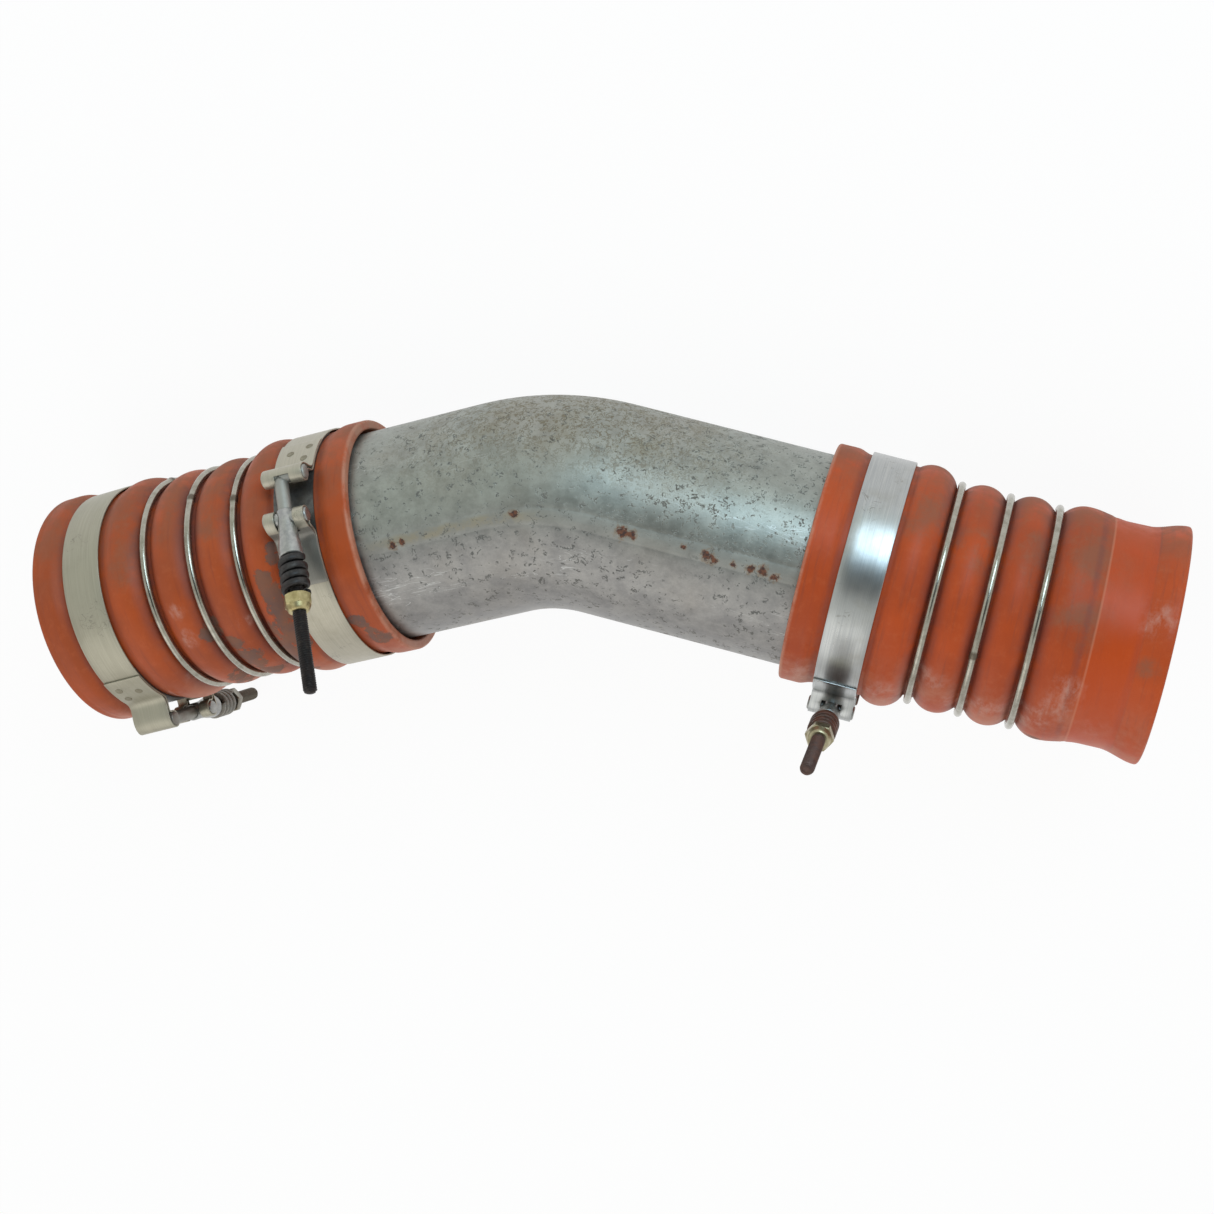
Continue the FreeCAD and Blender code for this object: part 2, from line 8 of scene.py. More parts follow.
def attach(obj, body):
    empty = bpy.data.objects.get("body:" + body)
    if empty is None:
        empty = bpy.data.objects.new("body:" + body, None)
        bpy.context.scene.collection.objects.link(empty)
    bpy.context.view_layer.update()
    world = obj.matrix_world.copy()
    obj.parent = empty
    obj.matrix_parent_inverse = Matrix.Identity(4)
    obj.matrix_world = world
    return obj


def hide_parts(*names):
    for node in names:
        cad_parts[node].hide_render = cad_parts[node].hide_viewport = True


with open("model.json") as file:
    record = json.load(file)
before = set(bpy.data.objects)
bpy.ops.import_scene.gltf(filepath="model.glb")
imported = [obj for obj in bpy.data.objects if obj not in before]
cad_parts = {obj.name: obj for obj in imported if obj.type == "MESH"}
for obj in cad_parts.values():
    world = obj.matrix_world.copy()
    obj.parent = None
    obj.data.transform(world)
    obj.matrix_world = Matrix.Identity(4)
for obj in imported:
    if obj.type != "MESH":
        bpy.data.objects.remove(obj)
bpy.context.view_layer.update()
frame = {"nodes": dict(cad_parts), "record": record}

MM = 0.001

# Camera, in millimetres from the point where the two arm axes cross: right, up the bend, out of its plane.
PHOTO_PIXELS = 1214
FOCAL_PIXELS = 2500
SENSOR_MM = 36.0
CAMERA_PLACE = (243.7, 301.4, 966.7)
CAMERA_AIM = (18.4, -48.9, 0.0)
CAMERA_ROLL = math.radians(-3.07)

# Sizes of the part, in millimetres and degrees.
TUBE_RADIUS = 44.45
TUBE_WALL = 2.0
BEND_ANGLE = 28.4
BEND_RADIUS = 88.9
LEFT_REACH = 74.2
RIGHT_REACH = 108.0
TUBE_INSERTION = 33.0
BOOT_WALL = 3.6
BOOT_CLEARANCE = 0.1
LIP_LENGTH = 9.0
LIP_SLOPE = 4.1
LIP_RISE = 1.6
LIP_FLARE = 1.4
LIP_ROUND = 1.2
FREE_LIP_RISE = 3.2
BAND_WIDTH = 18.0
BAND_THICKNESS = 0.7
TRACK_MARGIN = 1.5
SQUEEZE = {"left": 1.2, "right": 2.25}
SHOULDER_WIDTH = 16.7
SHOULDER_RISE = 2.3
CREST_OFFSET = 6.8
HUMP_RISE = 4.0
VALLEY_DEPTH = 4.7
VALLEY_WIDTH = 3.8
RING_PITCH = 20.6
RING_WIRE = 3.2
BOW = {"left": 2.4, "right": 1.8}
SWAY = {"left": 3.6, "right": 0.3}
BRIDGE_THICKNESS = 0.5
BRIDGE_CLEARANCE = 0.25
SEAT_CLEARANCE = 0.1
BOLT_STANDOFF = 6.2
BOLT_DIAMETER = 5.8
BOLT_LENGTH = 97.0
CROSS_BAR_DIAMETER = 6.0
SLEEVE_LENGTH = 17.5
SPRING_DIAMETER = 12.0
SPRING_WIRE = 3.1
SPRING_DEPTH = 2.7
SPRING_PITCH = 3.7
SPRING_LENGTH = 17.5
NUT_FLATS = 10.3
NUT_HEIGHT = 4.6
COLLAR_HEIGHT = 2.6
COLLAR_DIAMETER = 8.2
GAP = {"left_outer": 33.0, "left_inner": 19.2, "right_inner": 19.8}
TURN = {"left_outer": 75.5, "left_inner": -40.0, "right_inner": -86.0}
SKEW = {"left_outer": -4.5, "left_inner": 5.5, "right_inner": 0.5}
REST_ROLL = -99.456
REST_PITCH = 0.43

RING_NAMES = ("inner", "middle", "outer")
BARE_SIDE = "right"
BORE = TUBE_RADIUS + BOOT_CLEARANCE
TRACK = BORE + BOOT_WALL
VALLEY = TRACK - VALLEY_DEPTH
CREST = VALLEY + HUMP_RISE
SHOULDER = TRACK + SHOULDER_RISE
HALF_VALLEY = VALLEY_WIDTH / 2
TRACK_START = LIP_LENGTH + LIP_SLOPE
TRACK_WIDTH = BAND_WIDTH + 2 * TRACK_MARGIN
TRACK_END = TRACK_START + TRACK_WIDTH
FIRST_RING = TRACK_END + SHOULDER_WIDTH + HALF_VALLEY
LAST_RING = FIRST_RING + 2 * RING_PITCH
FREE_TRACK_START = HALF_VALLEY + SHOULDER_WIDTH
FREE_CREST = FREE_TRACK_START - CREST_OFFSET
FREE_TRACK_END = FREE_TRACK_START + TRACK_WIDTH
FREE_EDGE = FREE_TRACK_END + LIP_SLOPE + LIP_LENGTH

# Frames in millimetres, in the part's upright frame: the bend in the XZ plane, its crown up, the view at -Y.
VIEW_SIDE = Vector((0, -1, 0))
LEAN = Matrix.Rotation(math.radians(REST_PITCH), 4, "Y") @ Matrix.Rotation(math.radians(REST_ROLL), 4, "X")


def arm(side, reach):
    half_bend = math.radians(BEND_ANGLE / 2)
    out = Vector((side * math.cos(half_bend), 0, -math.sin(half_bend)))
    turn = Matrix((VIEW_SIDE, out.cross(VIEW_SIDE), out)).transposed()
    return Matrix.Translation(out * reach) @ turn.to_4x4()


def shift(x=0.0, y=0.0, z=0.0):
    return Matrix.Translation((x, y, z))


def spin(degrees, axis):
    return Matrix.Rotation(math.radians(degrees), 4, axis)


def polar(radius, angle, z=0.0):
    return Vector((radius * math.cos(angle), radius * math.sin(angle), z))


def boot_frames(name):
    """The frames of a boot's four lengths and the frames of its rings, as the boot gives at each ring."""
    share = 1 / len(RING_NAMES)
    give = spin(BOW[name] * share, "X") @ spin(-SWAY[name] * share, "Y")
    half_give = Matrix.Identity(3).to_quaternion().slerp(give.to_quaternion(), 0.5).to_matrix().to_4x4()
    lengths = [arm(-1, LEFT_REACH) if name == "left" else arm(1, RIGHT_REACH)]
    rings = []
    for step in (FIRST_RING, RING_PITCH, RING_PITCH):
        rings.append(lengths[-1] @ shift(z=step) @ half_give)
        lengths.append(lengths[-1] @ shift(z=step) @ give)
    return lengths, rings


def mount_place(name):
    item = next(m for m in frame["record"]["mounts"] if m["name"] == name)
    return Vector(item["pos_m"]) / MM


LEFT_END = boot_frames("left")[0][-1] @ Vector((0, 0, FREE_EDGE))
CORNER = mount_place("left_end") - LEAN @ LEFT_END
WORLD = Matrix.Scale(MM, 4) @ Matrix.Translation(CORNER) @ LEAN


def from_corner(right, up, out):
    return WORLD @ Vector((right, -out, up))


# Pieces.


def make_piece(name, node, vertices, faces, material, attributes=None):
    mesh = bpy.data.meshes.new(name)
    mesh.from_pydata([WORLD @ v for v in vertices], [], faces)
    for key, values in (attributes or {}).items():
        mesh.attributes.new(key, "FLOAT", "POINT").data.foreach_set("value", values)
    mesh.polygons.foreach_set("use_smooth", [True] * len(mesh.polygons))
    mesh.materials.append(material)
    piece = bpy.data.objects.new(name, mesh)
    bpy.context.collection.objects.link(piece)
    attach(piece, "root")
    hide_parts(node)
    return piece


def ring_faces(count, around, closed, first=0):
    """Quads between closed rows of points; with closed, the last row also meets the first."""
    faces = []
    for row in range(count if closed else count - 1):
        low = first + row * around
        high = first + (row + 1) % count * around
        for i in range(around):
            j = (i + 1) % around
            faces.append((low + i, low + j, high + j, high + i))
    return faces


def capped(count, around, first=0):
    last = first + (count - 1) * around
    return [tuple(range(first + around - 1, first - 1, -1)), tuple(range(last, last + around))]


def arc_points(start, via, end, count):
    """Points on the circle through three points, from the start up to but without the end."""
    (ax, ay), (bx, by), (cx, cy) = start, via, end
    d = 2 * (ax * (by - cy) + bx * (cy - ay) + cx * (ay - by))
    a2, b2, c2 = (x * x + y * y for x, y in (start, via, end))
    ux = (a2 * (by - cy) + b2 * (cy - ay) + c2 * (ay - by)) / d
    uy = (a2 * (cx - bx) + b2 * (ax - cx) + c2 * (bx - ax)) / d
    radius = math.hypot(ax - ux, ay - uy)
    angles = [math.atan2(y - uy, x - ux) for x, y in (start, via, end)]
    for k in (1, 2):
        while angles[k] - angles[k - 1] > math.pi:
            angles[k] -= 2 * math.pi
        while angles[k] - angles[k - 1] < -math.pi:
            angles[k] += 2 * math.pi
    steps = [angles[0] + (angles[2] - angles[0]) * i / count for i in range(count)]
    return [(ux + radius * math.cos(a), uy + radius * math.sin(a)) for a in steps]


def run_points(start, end, spacing):
    count = max(1, math.ceil(math.dist(start, end) / spacing))
    return [(start[0] + (end[0] - start[0]) * i / count, start[1] + (end[1] - start[1]) * i / count)
            for i in range(count)]


SPACING = 0.9
ARC_STEPS = 26
BOOT_AROUND = 192
FREE_LENGTH = 3


def boot_section(name):
    """The closed half section as (radius, station, length index, outside), out along it and back inside.

    A corner is (radius, station), followed by a point on the way where an arc leads to the next corner.
    """
    free_track = TRACK - SQUEEZE[name]
    free_shoulder = free_track + SHOULDER_RISE
    free_lip = free_track + FREE_LIP_RISE
    lip = TRACK + LIP_RISE
    crest_place = RING_PITCH / 2
    round_share = LIP_ROUND * (1 - math.sqrt(0.5))
    cuff = [
        (BORE + LIP_FLARE, 0),
        (lip - LIP_ROUND, 0, lip - round_share, round_share),
        (lip, LIP_ROUND),
        (lip, LIP_LENGTH),
        (TRACK, TRACK_START),
        (TRACK, TRACK_END, SHOULDER, TRACK_END + CREST_OFFSET),
        (VALLEY, FIRST_RING - HALF_VALLEY),
        (VALLEY, FIRST_RING),
    ]
    hump = [
        (VALLEY, 0),
        (VALLEY, HALF_VALLEY, CREST, crest_place),
        (VALLEY, RING_PITCH - HALF_VALLEY),
        (VALLEY, RING_PITCH),
    ]
    free = [
        (VALLEY, 0),
        (VALLEY, HALF_VALLEY, free_shoulder, FREE_CREST),
        (free_track, FREE_TRACK_START),
        (free_track, FREE_TRACK_END),
        (free_lip, FREE_TRACK_END + LIP_SLOPE),
        (free_lip, FREE_EDGE - LIP_ROUND, free_lip - round_share, FREE_EDGE - round_share),
        (free_lip - LIP_ROUND, FREE_EDGE),
        (free_track - BOOT_WALL, FREE_EDGE),
    ]
    inner_free = [
        (free_track - BOOT_WALL, FREE_EDGE),
        (free_track - BOOT_WALL, FREE_TRACK_START),
        (free_shoulder - BOOT_WALL, FREE_CREST),
        (VALLEY - BOOT_WALL, 0),
    ]
    inner_hump = [
        (VALLEY - BOOT_WALL, RING_PITCH),
        (CREST - BOOT_WALL, crest_place),
        (VALLEY - BOOT_WALL, 0),
    ]
    inner_cuff = [
        (VALLEY - BOOT_WALL, FIRST_RING),
        (SHOULDER - BOOT_WALL, TRACK_END + CREST_OFFSET),
        (BORE, TUBE_INSERTION + BOOT_CLEARANCE),
        (BORE, LIP_LENGTH),
        (BORE + LIP_FLARE, 0),
    ]
    section = []
    outer = [(0, cuff, True), (1, hump, True), (2, hump, True), (FREE_LENGTH, free, True)]
    inner = [(FREE_LENGTH, inner_free, False), (2, inner_hump, False), (1, inner_hump, False)]
    inner += [(0, inner_cuff, False)]
    for index, corners, outside in outer + inner:
        for corner, following in zip(corners, corners[1:]):
            if len(corner) == 2:
                points = run_points(corner, following[:2], SPACING)
            else:
                points = arc_points(corner[:2], corner[2:], following[:2], ARC_STEPS)
            section += [(radius, station, index, outside) for radius, station in points]
    return section


LENGTH_STARTS = (0, FIRST_RING, FIRST_RING + RING_PITCH, LAST_RING)
WAVE_HEIGHT = 0.35
WAVE_SIZE = 38.0
WAVE_SEED = {"left": Vector((3.1, 7.7, 1.3)), "right": Vector((11.9, 2.4, 5.6))}
TRACK_GROOVE = 0.22
GROOVE_WIDTH = 0.7
CUFF_SOFTENING = 1.3
FREE_SOFTENING = 1.6
SOFT_REACH = 2.5
WAIST_REACH = 17.0
FLARE_REACH = 15.0
BAND_MARK = 4.0


def smooth(share):
    share = min(max(share, 0.0), 1.0)
    return share * share * (3 - 2 * share)


def bare_radius(name, station):
    """The radius of a free end that no band holds: an easy waist that opens into the lip."""
    waist = smooth((station - FREE_CREST) / WAIST_REACH)
    flare = smooth((station - FREE_EDGE + LIP_ROUND + FLARE_REACH) / FLARE_REACH)
    return TRACK - SQUEEZE[name] + SHOULDER_RISE * (1 - waist) + FREE_LIP_RISE * flare


def softened(name, section):
    """The section with the corners of its two cuffs rounded off, as moulded rubber has them."""
    result = []
    for radius, station, index, outside in section:
        free = index == FREE_LENGTH
        on_bare = free and name == BARE_SIDE and FREE_CREST < station < FREE_EDGE - LIP_ROUND
        on_cuff = index == 0 and LIP_LENGTH / 2 < station < TRACK_END
        on_free = free and FREE_TRACK_START - CREST_OFFSET / 2 < station < FREE_EDGE - LIP_LENGTH / 4
        if outside and on_bare:
            radius = bare_radius(name, station)
        elif outside and (on_cuff or on_free):
            spread = CUFF_SOFTENING if on_cuff else FREE_SOFTENING
            reach = SOFT_REACH * spread
            near = [s for s in section if s[3] and s[2] == index and abs(s[1] - station) < reach]
            weights = [math.exp(-((s[1] - station) / spread) ** 2) for s in near]
            radius = sum(w * s[0] for w, s in zip(weights, near)) / sum(weights)
        result.append((radius, station, index))
    return result


def boot(name, material):
    lengths = boot_frames(name)[0]
    section = softened(name, boot_section(name))
    vertices, axial, around = [], [], []
    for radius, station, index in section:
        from_lip = station + LENGTH_STARTS[index]
        groove = 0.0
        if index == FREE_LENGTH and name == BARE_SIDE:
            mark = FREE_TRACK_START + BAND_MARK
            groove = TRACK_GROOVE * math.exp(-((station - mark) / GROOVE_WIDTH) ** 2)
        for i in range(BOOT_AROUND):
            angle = 2 * math.pi * i / BOOT_AROUND
            wave = noise.noise(polar(radius, angle, from_lip) / WAVE_SIZE + WAVE_SEED[name])
            edge_hold = min(1.0, abs(radius - BORE) / BOOT_WALL)
            waved = radius + wave * WAVE_HEIGHT * edge_hold - groove
            vertices.append(lengths[index] @ polar(waved, angle, station))
            axial.append(from_lip)
            around.append(math.degrees(angle) - (360 if angle > math.pi else 0))
    faces = ring_faces(len(section), BOOT_AROUND, True)
    make_piece(name + "_boot_rubber", name + "_boot", vertices, faces, material,
               {"axial": axial, "around": around, "behind": [abs(a) for a in around]})


RING_AROUND = 220
WIRE_AROUND = 18
WELD_SWELL = 0.45
WELD_LENGTH = 1.6


def wire_ring(name, place, ring_frame, weld_angle, material):
    """A wire ring in its valley, butt welded at one place."""
    middle = VALLEY + RING_WIRE / 2 + SEAT_CLEARANCE
    vertices, welded = [], []
    for i in range(RING_AROUND):
        angle = 2 * math.pi * i / RING_AROUND
        off = (math.degrees(angle) - weld_angle + 180) % 360 - 180
        swell = math.exp(-(math.radians(off) * middle / WELD_LENGTH) ** 2)
        for j in range(WIRE_AROUND):
            turn = 2 * math.pi * j / WIRE_AROUND
            outside = 0.5 + 0.5 * math.cos(turn)
            wire = RING_WIRE / 2 + WELD_SWELL * swell * outside
            radius = middle + wire * math.cos(turn)
            vertices.append(ring_frame @ polar(radius, angle, wire * math.sin(turn)))
            welded.append(swell)
    node = "%s_%s_ring" % (name, place)
    faces = ring_faces(RING_AROUND, WIRE_AROUND, True)
    make_piece(node + "_wire", node, vertices, faces, material, {"welded": welded})


SEAM_ANGLE = 10.0
SEAM_RISE = 0.24
SEAM_WIDTH = 2.6
SEAM_EDGE = 3.6
SEAM_GROOVE = 0.06
SEAM_GROOVE_WIDTH = 0.6
RIPPLE_SIZE = (3.0, 2.0)
RIPPLE_SEED = 4.2
RIPPLE_MEAN = 0.75
RIPPLE_SHARE = 0.5
PIPE_AROUND = 150
SEAM_STEPS = 40
SEAM_REACH = 6.0
PIPE_STEP = 2.5


def pipe_route():
    """Stations along the pipe's axis as (place, direction, distance from the left end)."""
    half_bend = math.radians(BEND_ANGLE / 2)
    tangent = BEND_RADIUS * math.tan(half_bend)
    left_run = LEFT_REACH + TUBE_INSERTION - tangent
    right_run = RIGHT_REACH + TUBE_INSERTION - tangent
    bend_run = BEND_RADIUS * math.radians(BEND_ANGLE)
    centre = Vector((0, 0, -BEND_RADIUS / math.cos(half_bend)))
    length = left_run + bend_run + right_run
    count = round(length / PIPE_STEP)
    stations = []
    for i in range(count + 1):
        along = length * i / count
        bent = min(max(along - left_run, 0), bend_run) / BEND_RADIUS - half_bend
        direction = Vector((math.cos(bent), 0, -math.sin(bent)))
        place = centre + Vector((math.sin(bent), 0, math.cos(bent))) * BEND_RADIUS
        place += direction * (min(along - left_run, 0) + max(along - left_run - bend_run, 0))
        stations.append((place, direction, along))
    return stations


def pipe_angles():
    """Angles round the pipe, from the view side towards the crown, closer together at the seam."""
    reach = math.degrees(SEAM_REACH / TUBE_RADIUS)
    dense = [SEAM_ANGLE - reach + 2 * reach * i / SEAM_STEPS for i in range(SEAM_STEPS)]
    rest = [SEAM_ANGLE + reach + (360 - 2 * reach) * i / PIPE_AROUND for i in range(PIPE_AROUND)]
    return dense + rest


def pipe(material):
    stations = pipe_route()
    angles = pipe_angles()
    vertices, along_values, around_values = [], [], []
    inside = [(s, TUBE_RADIUS - TUBE_WALL) for s in reversed(stations)]
    for (place, direction, along), radius in [(s, TUBE_RADIUS) for s in stations] + inside:
        up = direction.cross(-VIEW_SIDE)
        for angle in angles:
            off = ((angle - SEAM_ANGLE + 180) % 360 - 180) * math.pi / 180 * radius
            spot = Vector((along / RIPPLE_SIZE[0], off / RIPPLE_SIZE[1], RIPPLE_SEED))
            ripple = RIPPLE_MEAN + RIPPLE_SHARE * noise.noise(spot)
            bead = SEAM_RISE * ripple * math.exp(-(off / SEAM_WIDTH) ** 2)
            bead -= SEAM_GROOVE * math.exp(-((abs(off) - SEAM_EDGE) / SEAM_GROOVE_WIDTH) ** 2)
            turn = math.radians(angle)
            out = VIEW_SIDE * math.cos(turn) + up * math.sin(turn)
            vertices.append(place + out * (radius + bead))
            along_values.append(along)
            around_values.append((angle + 180) % 360 - 180)
    faces = ring_faces(2 * len(stations), len(angles), True)
    behind = [abs(a) for a in around_values]
    make_piece("charge_pipe_tube", "charge_pipe", vertices, faces, material,
               {"along": along_values, "around": around_values, "behind": behind})


def clamp_seat(name):
    """The clamp's own frame on its cuff, and the inner radius of its band."""
    side, place = name.split("_")
    lengths = boot_frames(side)[0]
    if place == "inner":
        cuff = lengths[0] @ shift(z=TRACK_START + TRACK_WIDTH / 2)
        track = TRACK
    else:
        cuff = lengths[-1] @ shift(z=FREE_TRACK_START + TRACK_WIDTH / 2)
        track = TRACK - SQUEEZE[side]
    inner = track + BRIDGE_CLEARANCE + BRIDGE_THICKNESS + SEAT_CLEARANCE
    return cuff @ spin(180, "X") @ spin(TURN[name], "Z"), inner


def bolt_height(inner):
    return inner + BAND_THICKNESS + BOLT_STANDOFF


def bolt_frames(name):
    """Functions for the frames in the clamp's loops and on its skewed bolt, by the station along it."""
    clamp, inner = clamp_seat(name)
    along_bolt = Matrix(((0, 1, 0), (0, 0, 1), (1, 0, 0))).to_4x4()

    def in_loop(station):
        return clamp @ shift(x=bolt_height(inner), y=station) @ along_bolt

    def on_bolt(station):
        return in_loop(GAP[name] / 2) @ spin(SKEW[name], "Y") @ shift(z=station - GAP[name] / 2)

    return in_loop, on_bolt


BOLT_AROUND = 32
SHANK_STEPS = 12
THREAD_GAP = 3.0
THREAD_RUNOUT = 2.0
THREAD_PITCH = 1.0
THREAD_DEPTH = 0.5
THREAD_STEPS = 8
TIP_CHAMFER = 0.9
BAR_PROUD = 0.8
BAR_ROUND = 0.7


def turned_rows(levels, around, placed, radius_at):
    """Points of a turned form: for each level along Z, a round whose radius may change with the angle."""
    rows = []
    for z in levels:
        for i in range(around):
            angle = 2 * math.pi * i / around
            rows.append(placed @ polar(radius_at(angle, z), angle, z))
    return rows


def turned_faces(count, around, first=0):
    return ring_faces(count, around, False, first) + capped(count, around, first)


def add_cross_bar(name, station, vertices, faces):
    """Adds a cross bar with rounded ends, along the band's width."""
    half = BAND_WIDTH / 2 + BAR_PROUD
    ends = [half - BAR_ROUND, half - BAR_ROUND * 0.3, half]
    levels = [-z for z in reversed(ends)] + [0] + ends

    def radius_at(angle, z):
        past = max(0.0, abs(z) - (half - BAR_ROUND))
        return CROSS_BAR_DIAMETER / 2 - BAR_ROUND + math.sqrt(max(0.0, BAR_ROUND ** 2 - past ** 2))

    in_loop, _ = bolt_frames(name)
    faces += turned_faces(len(levels), BOLT_AROUND, len(vertices))
    vertices += turned_rows(levels, BOLT_AROUND, in_loop(station) @ spin(90, "Y"), radius_at)


def t_bolt(name, material):
    gap = GAP[name]
    thread_start = gap + SLEEVE_LENGTH + THREAD_GAP
    threaded = BOLT_LENGTH - thread_start
    radius = BOLT_DIAMETER / 2

    def shank_radius(angle, z):
        if z < thread_start:
            return radius
        tip = max(0.0, z - (BOLT_LENGTH - TIP_CHAMFER))
        phase = (z / THREAD_PITCH - angle / (2 * math.pi)) % 1
        tooth = abs(2 * phase - 1)
        return radius - THREAD_DEPTH * (1 - tooth) * min(1, (z - thread_start) / THREAD_RUNOUT) - tip

    count = math.floor(threaded / THREAD_PITCH * THREAD_STEPS)
    levels = [thread_start * i / SHANK_STEPS for i in range(SHANK_STEPS)]
    levels += [thread_start + threaded * i / count for i in range(count + 1)]
    _, on_bolt = bolt_frames(name)
    vertices = turned_rows(levels, BOLT_AROUND, on_bolt(-gap / 2), shank_radius)
    faces = turned_faces(len(levels), BOLT_AROUND)
    along = [z for z in levels for i in range(BOLT_AROUND)]
    add_cross_bar(name, -gap / 2, vertices, faces)
    along += [0.0] * (len(vertices) - len(along))
    make_piece(name + "_t_bolt_threaded", name + "_t_bolt", vertices, faces, material,
               {"along": along})


BEND_STEPS = 10
LOOP_STEPS = 18
STRIP_STEP = 3.0
PAD_ANGLE = 20.0
LOOP_OVERLAP = 30.0
LANDING = 9.5
UNDER_LANDING = 7.0
SLOT_CLEARANCE = 0.4
SLEEVE_DIAMETER = 7.6
HEAD_SLOT = (4, 14)
FOLD_ROWS = 2 * BEND_STEPS - 3
EASE_PULL = 0.45
EDGE_BEVEL = 0.16
EDGE_ANGLE = math.radians(50)
BAND_SHARP = math.radians(40)


def eased(start, heading, end, arrival, count):
    """Points on a smooth bend between two places with given headings, without the end."""
    pull = (end - start).length * EASE_PULL
    a, b = start + heading * pull, end - arrival * pull
    points = []
    for i in range(count):
        t = i / count
        u = 1 - t
        points.append(start * u ** 3 + a * 3 * u * u * t + b * 3 * u * t * t + end * t ** 3)
    return points


def strap_end(side, gap, inner):
    """One end of a band in the clamp's plane, from the strip round its cross bar and back onto the strip."""
    strip = inner + BAND_THICKNESS / 2
    pad = strip + BAND_THICKNESS
    pin = Vector((bolt_height(inner), side * gap / 2, 0))
    up = pin.normalized()
    away = Vector((-up.y, up.x, 0)) * side
    wrap = CROSS_BAR_DIAMETER / 2 + SEAT_CLEARANCE + BAND_THICKNESS / 2
    lean = math.atan2(pin.y, pin.x)

    def on_arc(radius, along):
        angle = lean + side * along / radius
        return polar(radius, angle), polar(side, angle + math.pi / 2)

    def on_loop(degrees):
        a = math.radians(degrees)
        return pin + (up * math.cos(a) - away * math.sin(a)) * wrap, up * math.sin(a) + away * math.cos(a)

    leave, leave_heading = on_arc(strip, UNDER_LANDING)
    under, under_heading = on_loop(180 + LOOP_OVERLAP)
    over, over_heading = on_loop(-LOOP_OVERLAP)
    land, land_heading = on_arc(pad, LANDING)
    points = eased(leave, -leave_heading, under, under_heading, BEND_STEPS)
    loop_start = len(points)
    sweep = 180 + 2 * LOOP_OVERLAP
    points += [on_loop(180 + LOOP_OVERLAP - sweep * i / LOOP_STEPS)[0] for i in range(LOOP_STEPS)]
    loop_end = len(points)
    points += eased(over, over_heading, land, land_heading, BEND_STEPS)
    pad_length = math.radians(PAD_ANGLE) * pad
    points += [on_arc(pad, LANDING + pad_length * i / BEND_STEPS)[0] for i in range(BEND_STEPS + 1)]
    return points, loop_start, loop_end, lean + side * UNDER_LANDING / strip


def band_strap(name, material):
    """The clamp's band: a strip round the cuff whose ends fold over the cross bars, slotted for the bolt."""
    clamp, inner = clamp_seat(name)
    head, head_start, _, head_angle = strap_end(-1, GAP[name], inner)
    ear, ear_start, ear_end, ear_angle = strap_end(1, GAP[name], inner)
    radius = inner + BAND_THICKNESS / 2
    sweep = 2 * math.pi + head_angle - ear_angle
    count = round(sweep * radius / STRIP_STEP)
    strip = [polar(radius, ear_angle + sweep * i / count) for i in range(1, count)]
    route = list(reversed(ear)) + strip + head
    last_head = len(ear) + len(strip)
    ear_last = len(ear) - 1
    ear_slot = range(ear_last - ear_end - BEND_STEPS // 2, ear_last - ear_start + BEND_STEPS // 2)
    head_slot = range(last_head + head_start + HEAD_SLOT[0], last_head + head_start + HEAD_SLOT[1])
    half = BAND_WIDTH / 2
    bolt_room = BOLT_DIAMETER / 2 + SLOT_CLEARANCE
    sleeve_room = SLEEVE_DIAMETER / 2 + SLOT_CLEARANCE
    vertices, folded = [], []
    for k, point in enumerate(route):
        room = sleeve_room if k < len(ear) + len(strip) // 2 else bolt_room
        for across in (-half, -room, room, half):
            vertices.append(clamp @ (point + Vector((0, 0, across))))
            folded.append(1.0 if k < FOLD_ROWS else 0.0)
    faces = []
    for k in range(len(route) - 1):
        for i in range(3):
            if i == 1 and (k in ear_slot or k in head_slot):
                continue
            low, high = 4 * k + i, 4 * (k + 1) + i
            faces.append((low, low + 1, high + 1, high))
    piece = make_piece(name + "_band_strap", name + "_band", vertices, faces, material,
                       {"folded": folded})
    sheet = piece.modifiers.new("thickness", "SOLIDIFY")
    sheet.thickness = BAND_THICKNESS * MM
    sheet.offset = 0
    edge = piece.modifiers.new("edges", "BEVEL")
    edge.width = EDGE_BEVEL * MM
    edge.segments = 2
    edge.limit_method = "ANGLE"
    edge.angle_limit = EDGE_ANGLE
    piece.data.set_sharp_from_angle(angle=BAND_SHARP)


SPOT_RADIUS = 1.7
SPOT_RISE = 0.22
SPOT_AROUND = 20
SPOT_ROWS = ((1.0, -0.1), (0.96, 0.1), (0.8, SPOT_RISE), (0.55, 0.12), (0.25, 0.06))


def spot_welds(name, places, material):
    """Small pressed spots on the band's folded head end, each given by its way along the pad and across."""
    clamp, inner = clamp_seat(name)
    top = inner + 2 * BAND_THICKNESS
    lean = math.atan2(-GAP[name] / 2, bolt_height(inner))
    vertices, faces = [], []
    for along, across in places:
        middle = lean - (LANDING + along) / top
        first = len(vertices)
        for share, rise in SPOT_ROWS:
            for i in range(SPOT_AROUND):
                turn = 2 * math.pi * i / SPOT_AROUND
                angle = middle + SPOT_RADIUS * share * math.cos(turn) / top
                z = across + SPOT_RADIUS * share * math.sin(turn)
                vertices.append(clamp @ polar(top + rise, angle, z))
        faces += ring_faces(len(SPOT_ROWS), SPOT_AROUND, False, first)
        last = first + (len(SPOT_ROWS) - 1) * SPOT_AROUND
        faces.append(tuple(range(last, last + SPOT_AROUND)))
    make_piece(name + "_spot_welds_0", name + "_band", vertices, faces, material)


